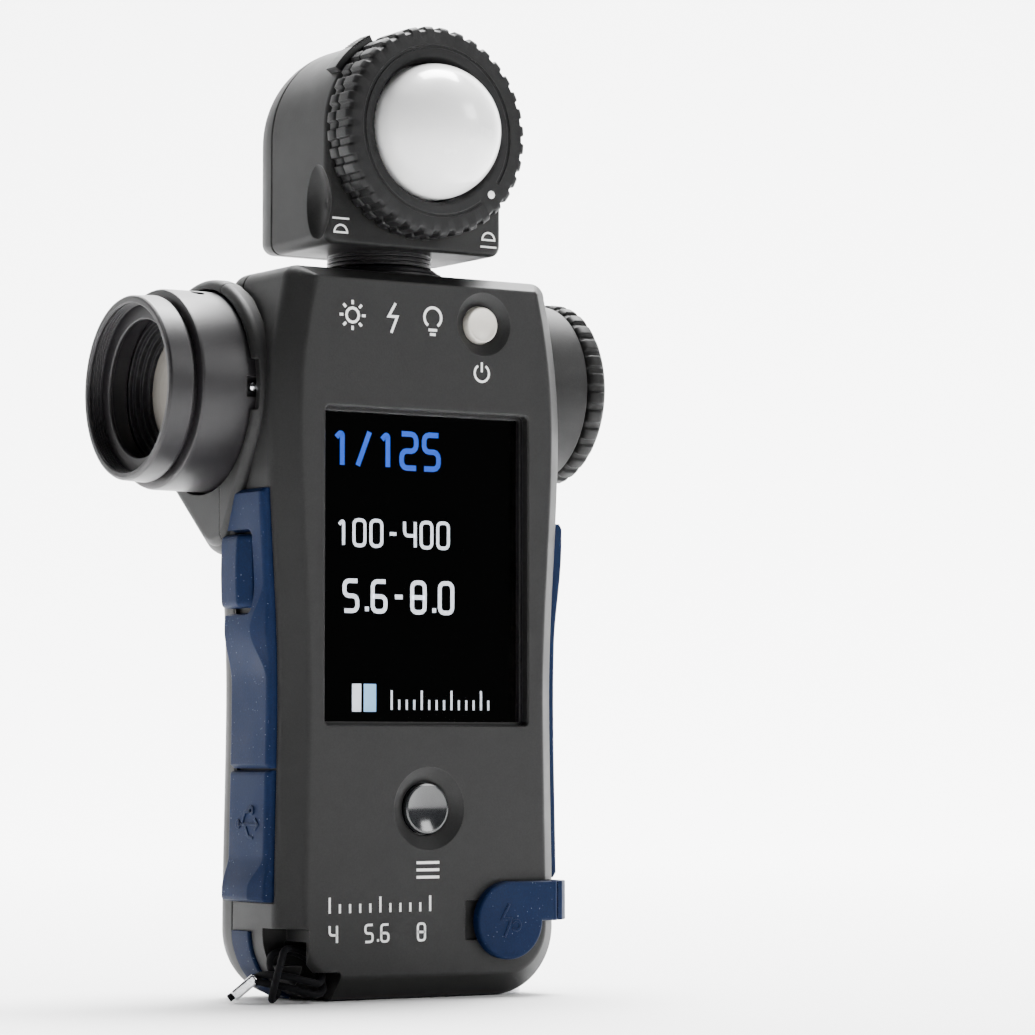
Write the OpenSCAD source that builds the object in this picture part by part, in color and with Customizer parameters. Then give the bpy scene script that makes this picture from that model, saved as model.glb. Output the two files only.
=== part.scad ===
// Handheld light meter: swivelling incident head, spot finder across the body, touch display.
// +X is the viewer's right, the front faces -Y, +Z is up, and the base rests on Z = 0.

/* [Body] */
// Height of the body below the head
body_h = 131.5; // [130:0.5:133]
// Half-width just above the rounded base corners
base_w = 29.7; // [29.4:0.1:30]
// Half-width at the waist
waist_w = 29.1; // [28.8:0.1:29.4]
// Half-width beside the finder
shoulder_w = 31.1; // [30.8:0.1:31.3]
// Half-width at the top corners
top_w = 27.2; // [26.8:0.1:27.6]
// Depth of the flat front face, measured from the origin
front_d = 14; // [14:0.1:14.4]
// Width of the bevel round the front face
bevel_w = 4.3; // [4:0.1:4.4]
// Depth of the bevel round the front face
bevel_d = 3.9; // [3.6:0.1:4]
// Thickness of the case walls
wall = 2; // [1.9:0.05:2.1]

/* [Display] */
// Width of the display opening
screen_w = 43.2; // [42:0.1:43.4]
// Height of the display opening
screen_h = 56.9; // [56:0.1:57.2]
// Height of the middle of the display
screen_z = 77.65; // [77.4:0.05:77.9]

/* [Buttons] */
// Radius of the power button
power_r = 3.3; // [3:0.1:3.4]
// Radius of the menu button
menu_r = 4.6; // [4.3:0.1:4.7]
// Travel of the front buttons
press = 0.6; // [0.4:0.1:0.6]

/* [Finder] */
// Distance of the finder axis behind the origin
finder_y = 12; // [11.8:0.1:12.2]
// Height of the objective axis
lens_z = 109.9; // [109.6:0.1:110.2]
// Height of the eyepiece axis
eye_z = 113.2; // [113:0.1:113.4]
// Radius of the objective barrel
barrel_r = 18.3; // [18:0.1:18.4]
// Radius of the accessory thread in the front ring
thread_r = 15.25; // [15:0.05:15.5]
// Radius of the knurled dioptre ring
dioptre_r = 17.4; // [17.2:0.1:17.6]

/* [Head] */
// Radius of the knurled retracting ring
ring_r = 19.2; // [19.1:0.05:19.3]
// Height of the middle of the retracting ring
ring_z = 156.95; // [156.8:0.05:157.1]
// Radius of the dome
dome_r = 12.4; // [12.2:0.1:12.5]
// Half-width of the head
head_w = 18.9; // [18.7:0.1:19]

/* [Strap] */
// Diameter of the strap cord
cord_d = 1.3; // [1.2:0.1:1.4]

/* [Hidden] */
$fn = 64;

// Colours
charcoal = [0.2, 0.2, 0.2];
black = [0.08, 0.08, 0.09];
navy = [0.06, 0.15, 0.33];
steel = [0.75, 0.75, 0.77];
brass = [0.75, 0.6, 0.3];
board_green = [0.1, 0.3, 0.16];
glass_grey = [0.7, 0.75, 0.8];

// Body planes and outline
front_y = -front_d;
part_y = 5;
back_y = 14;
inside_y = front_y + wall;
back_wall = 1.8;
corner_r = 12.5;
top_r = 3;
waist_z = 55;
shoulder_z = 103;

// Display stack, from the back of the front wall towards the main board
bezel_t = 1.2;
window_t = 1.2;
lcd_t = 2.4;
window_y = inside_y + bezel_t;
lcd_y = window_y + window_t;
board_y = -6.6;
board_t = 1.4;
board_w = 22.5;

// Front buttons: middle, radius of the button, radius of its conical recess
power_at = [11.87, 122.6];
menu_at = [0.22, 34.2];
power_dish = 5.58;
menu_dish = 7.24;
button_gap = 0.25;
stem_r = 1.5;
switch_y = -9;

// Side grips: how far they are let in, and how far they stand out
let_in = 0.8;
proud = 1.6;
grip_y0 = -9.6;
grip_y1 = 4.3;
grip_top = 91.3;
grip_low = 41.4;
cap_low = 17.8;
cap_hinge_r = (let_in + proud) / 2;
cap_hinge_z = grip_low - 0.3 - cap_hinge_r;
right_low = 21.2;

// Measuring button
key_z = 76.7;
key_h = 13.2;
key_y0 = -4.6;
key_y1 = 4;
key_x = 30.5;
key_gap = 0.3;

// Sync cap on the lower right of the front
sync_at = [16.7, 13.8];
sync_r = 7.1;
sync_hinge_x = 26.3;
cap_t = 1.8;
sync_y = front_y - cap_t / 2;
tab_z0 = 13.5;
tab_z1 = 20.9;
notch_x = 7.6;
notch_z0 = 10.4;
notch_z1 = 17.6;
strap_x = 31;
strap_side_y = -8.1;

// Case screws and their bosses
screw_at = [[25.8, 84], [25.8, 42], [-25.8, 84], [-25.8, 42]];

// Hatches in the back: the battery door and the module cover
hatch_w = 16.5;
hatch_gap = 0.25;
door_z0 = 9.5;
door_z1 = 60;
cover_z0 = 64;
cover_z1 = 82;
hatch_r = back_wall / 2;

// Cells
cell_r = 7.1;
cell_y = 4.7;
cell_z0 = 7;
cell_h = 50.5;

// Threaded insert in the base
socket_at = [20, -5];
socket_r = 4.75;
socket_hole = 3.175;
socket_h = 7;

// Finder
housing_r = 20;
housing_x = 31.6;
housing_low = 30;
end_x = 29;
barrel_x = -42.4;
ring_x = -43.2;
rim_x = -48.06;
tube_r = 14.5;
eye_tube_r = 12.6;
eye_housing_r = 16.9;
eye_end_x = 41.4;
eye_rim_x = 45.94;

// Head
head_z = 136;
head_y0 = -9.3;
head_part = 10.6;
head_back = 20.6;
screw_seat = 17.9;
neck_y = 3.5;
shaft_r = 6;
boss_r = 16;
boss_bore = 14.6;
ring_y0 = -16.98;
ring_y1 = -9.6;
ring_web = 2.5;
dome_y = -15.3;
carrier_y = -13.9;
dot_angle = -43;
dot_at = 15.8;

// Strap channel through the lower left corner
slot_y0 = -14.6;
slot_y1 = -6;
slot_x = -24.8;
slot_x1 = -18.2;
slot_z = 6.6;
slot_z1 = 13.2;
slot_low = 5.4;

// Route of the strap cord, from one cut end in the crimp round the corner bar to the other
cord_route = [
    [-34.9, -3.3, 0.85], [-32.4, -4.9, 2.95], [-30.6, -6, 4.7], [-30.1, -9.4, 5.1],
    [-27.8, -12.3, 4.8], [-24.6, -13.9, 3.9], [-22.6, -13.6, 3.6], [-20.9, -12, 4.6],
    [-20.6, -10, 6.8], [-22.6, -9, 8.7], [-25.6, -9.6, 9.6], [-28.4, -11.6, 9.4],
    [-30, -13.2, 7.6], [-31, -13.6, 5.2], [-31.3, -12.9, 2.8], [-30.6, -11, 1],
    [-29, -8.9, 0.95], [-27.6, -8, 2.2], [-28.1, -7.6, 4.4], [-29, -7.5, 6.8],
    [-28.4, -7.6, 8.6], [-25.6, -7.5, 9], [-22.8, -7.4, 8.4], [-20.4, -8, 6.6],
    [-19.9, -9.6, 4.4], [-20.6, -11.8, 2.4], [-22.8, -13.4, 1.6], [-25.2, -13.2, 2.1],
    [-28, -11.8, 3], [-30, -9.6, 3.4], [-31.9, -7.6, 3.9], [-33.3, -6.2, 2.95], [-35.7, -4.7, 0.85]
];
ferrule_at = [-32.85, -5.55, 2.95];

function smooth(t) = t * t * (3 - 2 * t);
function clamp(t) = min(1, max(0, t));

// Half-width of the body at height z
function half_w(z) =
    z < waist_z ? base_w + (waist_w - base_w) * smooth(clamp((z - corner_r) / (waist_z - corner_r)))
    : z < shoulder_z ? waist_w + (shoulder_w - waist_w) * smooth((z - waist_z) / (shoulder_z - waist_z))
    : shoulder_w + (top_w - shoulder_w) * pow((z - shoulder_z) / (body_h - shoulder_z), 2);

// Right half of the body's outline from the base up, moved in by i
function body_side(i) =
    let (r = max(top_r - i, 0.4), z = body_h - i - r, x = half_w(body_h - top_r) - i - r)
    concat(
        [for (a = [-90 : 15 : -15])
            [base_w - corner_r + (corner_r - i) * cos(a), corner_r + (corner_r - i) * sin(a)]],
        [for (h = [corner_r : 5 : body_h - 2 * top_r]) [half_w(h) - i, h]],
        [for (a = [0 : 30 : 90]) [x + r * cos(a), z + r * sin(a)]]);

// Right half of the head's outline from the base up, moved in by i
function head_side(i) =
    let (r = 2, z = head_z + i / 2)
    concat(
        [for (a = [-90 : 30 : 0]) [head_w - i - r + r * cos(a), z + r + r * sin(a)]],
        [for (a = [0 : 8 : 88]) [(head_w - i) * cos(a), ring_z + (head_w - i) * sin(a)]]);

// A half outline and its mirror image, as a closed loop at depth y
function loop(side, y) = concat(
    [for (p = side) [p[0], y, p[1]]],
    [for (k = [len(side) - 1 : -1 : 0]) [-side[k][0], y, side[k][1]]]);

function body_loops(steps) = [for (s = steps) loop(body_side(s[1]), s[0])];
function head_loops(steps) = [for (s = steps) loop(head_side(s[1]), s[0])];

// Solid through a row of mirrored loops, from front to back
module loft(loops) {
    n = len(loops[0]);
    last = (len(loops) - 1) * n;
    polyhedron(
        points = [for (l = loops) each l],
        faces = concat(
            [for (k = [0 : n / 2 - 2]) [n - 1 - k, n - 2 - k, k + 1, k]],
            [for (k = [0 : n / 2 - 2]) [last + k, last + k + 1, last + n - 2 - k, last + n - 1 - k]],
            [for (j = [0 : len(loops) - 2], k = [0 : n - 1])
                let (a = j * n + k, b = j * n + (k + 1) % n) each [[a, b, b + n], [a, b + n, a + n]]]));
}

// Extrudes an outline drawn in X and Z from y0 back to y1
module slab(y0, y1) {
    translate([0, y1, 0]) rotate([90, 0, 0]) linear_extrude(y1 - y0) children();
}

// Cylinder along Y, from y0 back to y1
module peg(at, r, y0, y1, r2 = 0) {
    translate([at[0], y0, at[1]]) rotate([-90, 0, 0]) cylinder(h = y1 - y0, r1 = r, r2 = r2 > 0 ? r2 : r);
}

// Cylinder along X at the finder's depth, from x0 to x1
module rod(z, r, x0, x1) {
    translate([x0, finder_y, z]) rotate([0, 90, 0]) cylinder(h = x1 - x0, r = r);
}

// Box between two corners
module block(a, b) {
    translate(a) cube(b - a);
}

// Solid of revolution about the finder axis at height z; the profile's points are [radius, x]
module turned_x(z, profile) {
    translate([0, finder_y, z]) rotate([0, 90, 0]) rotate_extrude() polygon(profile);
}

// Disc with a notched rim, from y = 0 to h
module knurled(r, depth, count, h) {
    step = 360 / count;
    linear_extrude(h)
        polygon([for (k = [0 : count - 1], c = [[0, 0], [0.3, 0], [0.6, 0], [0.68, 1], [0.92, 1]])
            let (a = (k + c[0]) * step, q = r - depth * c[1]) [q * cos(a), q * sin(a)]]);
}

// Side pad in X and Z: its outer edge stands out by t(z), its inner edge is let in by d
function bump(z, middle, half) = smooth(clamp(1 - abs(z - middle) / half));
function grip_t(z, side) = proud + (side < 0 ? 1.3 * bump(z, 66, 9) : 1.6 * bump(z, 80, 18));
function cap_out(z) = proud + 1.3 * smooth(clamp((26 - z) / 6));

module pad(side, z0, z1, d, steps = 16) {
    rise = (z1 - z0) / steps;
    heights = [for (k = [0 : steps]) z0 + k * rise];
    outer = [for (z = heights) [side * (half_w(z) + (z1 <= grip_low ? cap_out(z) : grip_t(z, side))), z]];
    inner = [for (k = [steps : -1 : 0]) [side * (half_w(heights[k]) - d), heights[k]]];
    polygon(concat(outer, inner));
}

// Seats cut into the case for the side grips and the caps
module grip_seats() {
    slab(grip_y0, grip_y1) pad(-1, cap_low - 0.2, grip_low - 0.01, let_in);
    slab(grip_y0, grip_y1) pad(-1, grip_low - 0.02, grip_top, let_in, 18);
    slab(grip_y0, grip_y1) pad(1, right_low, grip_top - 4.5, let_in, 24);
    guard_shape(grip_y1);
}

// Blue guard round the lower left corner
module guard_shape(y1) {
    c = [-(base_w - corner_r), corner_r];
    out = corner_r + 0.6;
    in = corner_r - let_in;
    slab(-2, y1)
        polygon(concat(
            [for (a = [180 : 7 : 250]) c + out * [cos(a), sin(a)]],
            [for (a = [250 : -7 : 180]) c + in * [cos(a), sin(a)]]));
}

// Outer form of the finder housing
module housing() {
    hull() {
        rod(lens_z, housing_r, -housing_x, housing_x - 0.6, $fn = 72);
        translate([-housing_low, 8, 88]) rotate([0, 90, 0]) cylinder(h = 2 * housing_low, r = 8, $fn = 32);
    }
}

// Everything hollowed out of both shells round the finder and the neck
module finder_bores() {
    rod(lens_z, housing_r - wall, -end_x + wall, end_x - wall);
    rod(lens_z, barrel_r + 0.45, -housing_x - 1, -end_x);
    rod(lens_z, tube_r + 0.05, -end_x - 1, -end_x + wall + 1);
    rod(eye_z, eye_housing_r + 0.05, end_x, housing_x + 1);
    rod(eye_z, eye_tube_r + 0.05, end_x - wall - 1, end_x + 1);
    translate([0, neck_y, body_h - 8]) cylinder(h = 10, r = 8.05);
}

module strap_channel() {
    block([-33, slot_y0 - 1, slot_z], [slot_x, slot_y1, slot_z1]);
    block([slot_x - 0.1, slot_y0 - 1, -1], [slot_x1, slot_y1, slot_low]);
    block([slot_x - 0.1, slot_y0 + 1.7, -1], [slot_x1, slot_y1, slot_z + 4.2]);
}

module front_outer() {
    loft(body_loops([[front_y, bevel_w], [front_y + bevel_d, 0], [part_y, 0]]));
}

module gasket_ring(grow) {
    difference() {
        loft(body_loops([[part_y - 0.5 - grow, 0.7 - grow], [part_y + 0.5 + grow, 0.7 - grow]]));
        loft(body_loops([[part_y - 1, 1.3 + grow], [part_y + 1, 1.3 + grow]]));
    }
}

module dish(at, r_out, r_in) {
    peg(at, r_out, front_y - 0.01, front_y + 1.4, r_in);
    peg(at, r_in, front_y - 0.01, inside_y + 1);
    peg(at, r_in + 1, inside_y + 0.1, inside_y + 2.2);
}

module front_case() color(charcoal) difference() {
    union() {
        difference() {
            front_outer();
            loft(body_loops([[inside_y, bevel_w + 1.3], [front_y + bevel_d + 1.2, wall],
                [part_y + 1, wall]]));
        }
        intersection() {
            union() {
                block([-32, slot_y0, -1], [slot_x1 + 1.6, slot_y1 + 1.6, slot_z1 + 1.6]);
                block([20, inside_y - 0.5, tab_z0 - 2], [30, -9.6, tab_z1 + 2]);
                peg(sync_at, 8.3, inside_y - 0.5, inside_y + 1.6);
                translate([socket_at[0], socket_at[1], 0]) cylinder(h = socket_h, r = socket_r + 1.5);
                for (s = screw_at) peg(s, 2.4, inside_y - 0.5, part_y);
            }
            front_outer();
        }
        difference() {
            intersection() {
                housing();
                block([-40, -12, 60], [40, part_y, 131]);
            }
            block([-27, -13, 60], [27, 6, 132]);
            rod(lens_z, housing_r - wall, -28, 28);
        }
    }
    finder_bores();
    grip_seats();
    strap_channel();
    slab(front_y - 1, inside_y + 0.01)
        translate([0, screen_z]) square([screen_w, screen_h], center = true);
    dish(power_at, power_dish, power_r + button_gap);
    dish(menu_at, menu_dish, menu_r + button_gap);
    peg(sync_at, 3.65, front_y - 1, 0);
    block([notch_x, front_y - 1, notch_z0], [sync_at[0], front_y + 0.9, notch_z1]);
    block([24.5, front_y - 2, tab_z0], [34, front_y + 2.2, tab_z1]);
    block([28.9, front_y - 2, tab_z0], [34, -8, tab_z1]);
    translate([-27, 0, key_z]) rotate([0, -90, 0]) cylinder(h = 6, r = 2.1);
    block([-33, -4.8, 24], [-26, -1.2, 32]);
    translate([socket_at[0], socket_at[1], -1]) cylinder(h = socket_h + 3, r = socket_r);
    for (s = screw_at) peg(s, 1.05, -8, part_y + 1);
    gasket_ring(0.02);
}

module rear_case() color(charcoal) difference() {
    union() {
        difference() {
            union() {
                loft(body_loops([[part_y, 0], [8, 0.35], [10.5, 1.4], [12.4, 3.1], [13.6, 5.2],
                    [back_y, 7.6]]));
                intersection() {
                    housing();
                    block([-40, part_y, 60], [40, 40, 131]);
                }
            }
            loft(body_loops([[part_y - 1, wall], [9, wall + 0.4], [11, wall + 2.2],
                [back_y - back_wall, wall + 4.6]]));
        }
        intersection() {
            for (s = screw_at) peg(s, 3.2, part_y, 12);
            loft(body_loops([[part_y, 0], [8, 0.35], [10.5, 1.4], [12.4, 3.1]]));
        }
    }
    finder_bores();
    hatch_opening(door_z0, door_z1);
    hatch_opening(cover_z0, cover_z1);
    for (s = screw_at) {
        peg(s, 1.05, part_y - 1, 12);
        peg(s, 2.3, 9.2, 20);
    }
    gasket_ring(0.02);
}

module case_gasket() color(black) difference() {
    gasket_ring(0);
    rod(lens_z, barrel_r + 0.45, -40, -end_x);
    rod(lens_z, tube_r + 0.05, -40, 0);
    rod(eye_z, eye_housing_r + 0.05, end_x - 2, 40);
    translate([0, neck_y, body_h - 8]) cylinder(h = 10, r = 8.05);
}

module case_screws() color(steel) for (s = screw_at) {
    peg(s, 1, -7, 9.2);
    peg(s, 2.1, 9.2, 10.4);
}

module left_grip() color(navy) difference() {
    slab(grip_y0, grip_y1) pad(-1, grip_low, grip_top, let_in, 18);
    rod(lens_z, barrel_r + 2.4, -40, -20);
    block([-40, key_y0 - key_gap, key_z - key_h / 2 - key_gap],
        [-20, key_y1 + key_gap, key_z + key_h / 2 + key_gap]);
}

module right_grip() color(navy)
    slab(grip_y0, grip_y1) pad(1, right_low, grip_top - 4.5, let_in, 24);

module corner_guard() color(navy) guard_shape(grip_y1);

module display_bezel() color(black) slab(inside_y, window_y) translate([0, screen_z]) difference() {
    square([46.2, 60.4], center = true);
    square([screen_w - 1.2, screen_h - 1.2], center = true);
}

module display_window() color(black)
    slab(window_y, lcd_y) translate([0, screen_z]) square([45.2, 59.3], center = true);

module lcd_panel() color(black)
    slab(lcd_y, lcd_y + lcd_t) translate([0, screen_z]) square([44.8, 58.9], center = true);

module main_board() color(board_green) slab(board_y, board_y + board_t)
    translate([-board_w, 24]) square([2 * board_w, 102]);

module key_switches() color(steel) {
    for (s = [power_at, menu_at])
        block([s[0] - 2.3, switch_y, s[1] - 2.3], [s[0] + 2.3, board_y, s[1] + 2.3]);
    block([-25.6, board_y + board_t, key_z - 2.5], [-20, board_y + board_t + 1, key_z + 2.5]);
    block([-25.6, board_y + board_t + 1, key_z - 2.5], [-22.6, 2.2, key_z + 2.5]);
}

module battery_tray() color(black) difference() {
    block([-16.4, -3.4, 9.6], [16.4, 3.4, 60]);
    for (x = [-8, 8]) translate([x, cell_y, cell_z0]) cylinder(h = 51.6, r = cell_r + 0.15);
}

module battery_cells() color(steel) for (x = [-8, 8]) {
    translate([x, cell_y, cell_z0]) cylinder(h = cell_h - 1, r = cell_r);
    translate([x, cell_y, cell_z0 + cell_h - 1]) cylinder(h = 1, r = 2.6);
}

module battery_contacts() color(steel) {
    for (x = [-8, 8]) translate([x, cell_y, 3]) cylinder(h = cell_z0 - 3, r1 = 4.2, r2 = 2.4);
    block([-13, 0.5, 2.4], [13, 9, 3]);
    for (x = [-8, 8]) block([x - 5, 0.5, 57.5], [x + 5, 9, 58.3]);
}

// Hinged hatch flush with the back; its lower edge turns about the hinge
module hatch(z0, z1) {
    hinge_z = z0 + hatch_r;
    block([-hatch_w, back_y - back_wall, hinge_z], [hatch_w, back_y, z1]);
    for (part = [[hatch_w, hatch_r], [hatch_w + 1.2, 0.6]])
        translate([-part[0], back_y - hatch_r, hinge_z]) rotate([0, 90, 0])
            cylinder(h = 2 * part[0], r = part[1], $fn = 32);
}

module hatch_opening(z0, z1) {
    hinge_z = z0 + hatch_r;
    block([-hatch_w - hatch_gap, back_y - back_wall - 1, z0 - 0.5],
        [hatch_w + hatch_gap, back_y + 6, z1 + hatch_gap]);
    translate([-hatch_w - 1.4, back_y - hatch_r, hinge_z]) rotate([0, 90, 0])
        cylinder(h = 2 * hatch_w + 2.8, r = 0.66, $fn = 32);
}

module battery_door() color(charcoal) difference() {
    hatch(door_z0, door_z1);
    for (k = [0 : 4]) block([-5, back_y - 0.5, door_z1 - 9 + 1.6 * k], [5, 20, door_z1 - 8.2 + 1.6 * k]);
}

module module_cover() color(charcoal) hatch(cover_z0, cover_z1);

module module_bay() color(black) difference() {
    block([-16, -3.5, 62.6], [16, 12, 83.4]);
    block([-15, -2.5, 63.6], [15, 13, 82.4]);
}

module module_connector() color(brass)
    for (k = [-3 : 3]) block([1.6 * k - 0.4, -2.5, 66], [1.6 * k + 0.4, -2, 70]);

module tripod_socket() color(steel) translate([socket_at[0], socket_at[1], 0]) difference() {
    cylinder(h = socket_h, r = socket_r);
    translate([0, 0, -1]) cylinder(h = socket_h, r = socket_hole);
}

module sync_terminal() color(brass) {
    difference() {
        peg(sync_at, 3.6, front_y + 0.2, board_y);
        peg(sync_at, 2.9, front_y - 1, board_y - 2);
    }
    peg(sync_at, 0.6, front_y + 1, board_y - 1);
}

module sync_strap() color(navy) difference() {
    union() {
        block([sync_hinge_x + 0.3, front_y - 1.2, tab_z0 + 0.1], [28.2, front_y + 2.1, tab_z1 - 0.1]);
        translate([0, 0, tab_z0 + 0.1]) linear_extrude(tab_z1 - tab_z0 - 0.2)
            polygon([[28, front_y - 1.2], [28.2, front_y - 1.2], [30.5, front_y + 1.6],
                [strap_x, front_y + 3], [strap_x, strap_side_y], [29, strap_side_y],
                [29, front_y + 2.1], [28, front_y + 2.1]]);
        block([30, strap_side_y - 0.1, tab_z0 + 0.1], [strap_x, -2, tab_z1 - 0.1]);
    }
    translate([sync_hinge_x, sync_y, tab_z0 - 1]) cylinder(h = 10, r = cap_t / 2 + 0.2);
}

module sync_cap() color(navy) {
    peg(sync_at, sync_r, front_y - cap_t, front_y);
    block([sync_at[0], front_y - cap_t, tab_z0 + 0.1], [sync_hinge_x, front_y, tab_z1 - 0.1]);
    translate([sync_hinge_x, sync_y, tab_z0 + 0.1]) cylinder(h = tab_z1 - tab_z0 - 0.2, r = cap_t / 2);
}

module usb_socket() color(steel) difference() {
    block([-28.6, -4.7, 24.1], [-22.8, -1.3, 31.9]);
    block([-30, -4.2, 24.6], [-23.6, -1.8, 31.4]);
}

module usb_cap() color(navy) {
    difference() {
        slab(grip_y0 + 0.15, grip_y1) pad(-1, cap_low, grip_low, let_in - 0.05);
        block([-40, -20, cap_hinge_z], [-20, 20, 50]);
    }
    translate([-half_w(cap_hinge_z) + let_in - 0.05 - cap_hinge_r, grip_y0 + 0.15, cap_hinge_z])
        rotate([-90, 0, 0]) cylinder(h = grip_y1 - grip_y0 - 0.15, r = cap_hinge_r, $fn = 32);
}

// Front button: cap, retaining flange, and the stem that reaches the switch
module button(at, r, y0) {
    peg(at, r, y0, inside_y + 0.3);
    peg(at, r + 0.9, inside_y + 0.3, inside_y + 1.1);
    peg(at, stem_r, inside_y + 1.1, switch_y - press - 0.1);
}

module power_button() color([0.8, 0.79, 0.76]) button(power_at, power_r, front_y + 0.3);

module menu_button() color([0.35, 0.37, 0.38]) button(menu_at, menu_r, front_y + 0.6);

module measuring_button() color(navy) {
    block([-33.2, key_y0, key_z - key_h / 2], [-key_x, key_y1, key_z + key_h / 2]);
    translate([-26.5, 0, key_z]) rotate([0, -90, 0]) cylinder(h = key_x - 26.5, r = 2);
}

module objective_barrel() color(black) difference() {
    turned_x(lens_z, [[tube_r + 0.05, -end_x], [barrel_r - 0.6, -end_x], [barrel_r, -31.2],
        [barrel_r - 0.1, barrel_x], [16.05, barrel_x], [16.05, -40.9], [tube_r + 0.05, -40.9]]);
    for (a = [5, 175])
        translate([-36.6, finder_y, lens_z]) rotate([a, 0, 0])
            translate([0, -4, 0]) translate([0, 0, 12]) cylinder(h = 8, r = 1.3, $fn = 32);
}

module filter_ring() color(black)
    turned_x(lens_z, [[thread_r, rim_x], [thread_r + 1.1, rim_x], [thread_r + 1.5, rim_x + 0.4],
        [16.9, ring_x], [16, ring_x], [16, -41], [13.4, -41], [13.4, -44.2], [12.6, -44.2],
        [12.6, -45], [thread_r, -45]]);

module lens_baffle() color(black)
    turned_x(lens_z, [[14.5, -40.8], [14.5, -37.3], [10.2, -37.3], [10.2, -38], [11, -38],
        [11, -39], [11.9, -39], [11.9, -40], [12.8, -40], [12.8, -40.8]]);

module objective_lens() color(glass_grey)
    turned_x(lens_z, concat([[0, -34.1], [14.4, -34.1], [14.4, -37.2], [10.1, -37.2]],
        [for (r = [8, 6, 4, 2, 0]) [r, -38.6 + r * r / 70]]));

module barrel_screws() color(steel) for (a = [5, 175])
    translate([-36.6, finder_y, lens_z]) rotate([a, 0, 0])
        translate([0, -4, 0]) translate([0, 0, 15]) cylinder(h = 1.6, r = 1.25, $fn = 32);

module objective_tube() color(black) difference() {
    rod(lens_z, tube_r, -34, 2);
    rod(lens_z, tube_r - 1.4, -35, 3);
}

module beam_splitter() color(glass_grey) block([2.2, 4, 103.5], [19.3, 20, 119.5]);

module spot_sensor() color(steel) block([7, 20, 107], [15, 24, 115]);

module eyepiece_tube() color(black) difference() {
    rod(eye_z, eye_tube_r, 19.4, 34.4);
    rod(eye_z, eye_tube_r - 1.2, 19, 35);
}

module eyepiece_housing() color(charcoal)
    turned_x(eye_z, [[eye_tube_r + 0.05, end_x], [eye_housing_r, end_x],
        [eye_housing_r, eye_end_x - 0.4],
        [eye_housing_r - 0.4, eye_end_x], [14.5, eye_end_x], [14.5, 44], [eye_tube_r + 0.05, 44]]);

module dioptre_ring() color(black) difference() {
    translate([eye_end_x + 0.3, finder_y, eye_z]) rotate([0, 90, 0]) {
        knurled(dioptre_r, 0.5, 30, eye_rim_x - eye_end_x - 0.8);
        cylinder(h = eye_rim_x - eye_end_x - 0.3, r = dioptre_r - 0.7);
    }
    rod(eye_z, 14.56, 40, 44.3);
    rod(eye_z, 13, 40, 50);
}

module eyepiece_cell() color(black) difference() {
    rod(eye_z, 12.5, 36.6, 43.9);
    rod(eye_z, 10.5, 36, 45);
}

module eyepiece_lens() color(glass_grey)
    turned_x(eye_z, concat([[0, 40.2], [10.45, 40.2], [10.45, 42]],
        [for (r = [8, 6, 4, 2, 0]) [r, 43 - r * r / 110]]));

// Neck: fixed flange, turning post and the clip that holds it
module neck_flange() color(black) translate([0, neck_y, 0]) difference() {
    union() {
        translate([0, 0, body_h]) cylinder(h = 1.8, r = 12);
        translate([0, 0, body_h - 3.2]) cylinder(h = 3.3, r = 8);
    }
    translate([0, 0, body_h - 5]) cylinder(h = 8, r = shaft_r + 0.06);
}

module neck_post() color(black) translate([0, neck_y, 0]) difference() {
    union() {
        translate([0, 0, body_h + 2.1]) cylinder(h = head_z - body_h - 2.1, r = 9.7);
        translate([0, 0, body_h - 5.4]) cylinder(h = 9, r = shaft_r);
        translate([0, 0, head_z - 1]) cylinder(h = 4, r = shaft_r + 0.5);
    }
    translate([0, 0, body_h - 6]) cylinder(h = 20, r = 3.5);
    translate([0, 0, body_h - 4.4]) difference() {
        cylinder(h = 0.8, r = 8);
        translate([0, 0, -1]) cylinder(h = 3, r = 5);
    }
}

module neck_clip() color(steel) translate([0, neck_y, body_h - 4.4]) difference() {
    cylinder(h = 0.8, r = 7.9);
    translate([0, 0, -1]) cylinder(h = 3, r = 5.05);
    translate([-2, 0, -1]) cube([4, 10, 3]);
}

module head_front() color(charcoal) difference() {
    union() {
        difference() {
            loft(head_loops([[head_y0, 0.8], [head_y0 + 0.8, 0], [head_part, 0]]));
            loft(head_loops([[head_y0 + 1.9, 2.2], [head_part + 1, 1.8]]));
            block([-26, head_y0 - 1, head_z + 2], [-17.9, -1.2, head_z + 15]);
        }
        peg([0, ring_z], boss_r, head_y0 - 4.9, 2.4);
        for (x = [-13.5, 13.5]) peg([x, head_z + 4.6], 2.2, head_y0 + 1, head_part);
        intersection() {
            block([-19, head_y0 + 1, head_z + 1], [-16.4, 0.4, head_z + 17]);
            loft(head_loops([[head_y0, 0.8], [head_part, 0]]));
            block([-17.9, -20, 100], [0, 20, 200]);
        }
    }
    peg([0, ring_z], boss_bore, head_y0 - 6, 3);
    for (x = [-13.5, 13.5]) peg([x, head_z + 4.6], 0.85, 2, head_part + 1);
    translate([0, neck_y, head_z - 1]) cylinder(h = 5, r = shaft_r + 0.55);
}

module head_rear() color(charcoal) difference() {
    loft(head_loops([[head_part, 0], [14, 0.4], [16.8, 1.5], [18.9, 3.4], [20, 5.4], [head_back, 7.3]]));
    loft(head_loops([[head_part - 1, 1.8], [14, 2.3], [16.6, 3.8], [head_back - 1.8, 7.3]]));
    for (x = [-13.5, 13.5]) {
        peg([x, head_z + 4.6], 0.85, 5, 25);
        peg([x, head_z + 4.6], 1.7, screw_seat, 25);
    }
}

module head_screws() color(steel) for (x = [-13.5, 13.5]) {
    peg([x, head_z + 4.6], 0.8, 3, screw_seat);
    peg([x, head_z + 4.6], 1.6, screw_seat, screw_seat + 0.8);
}

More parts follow.
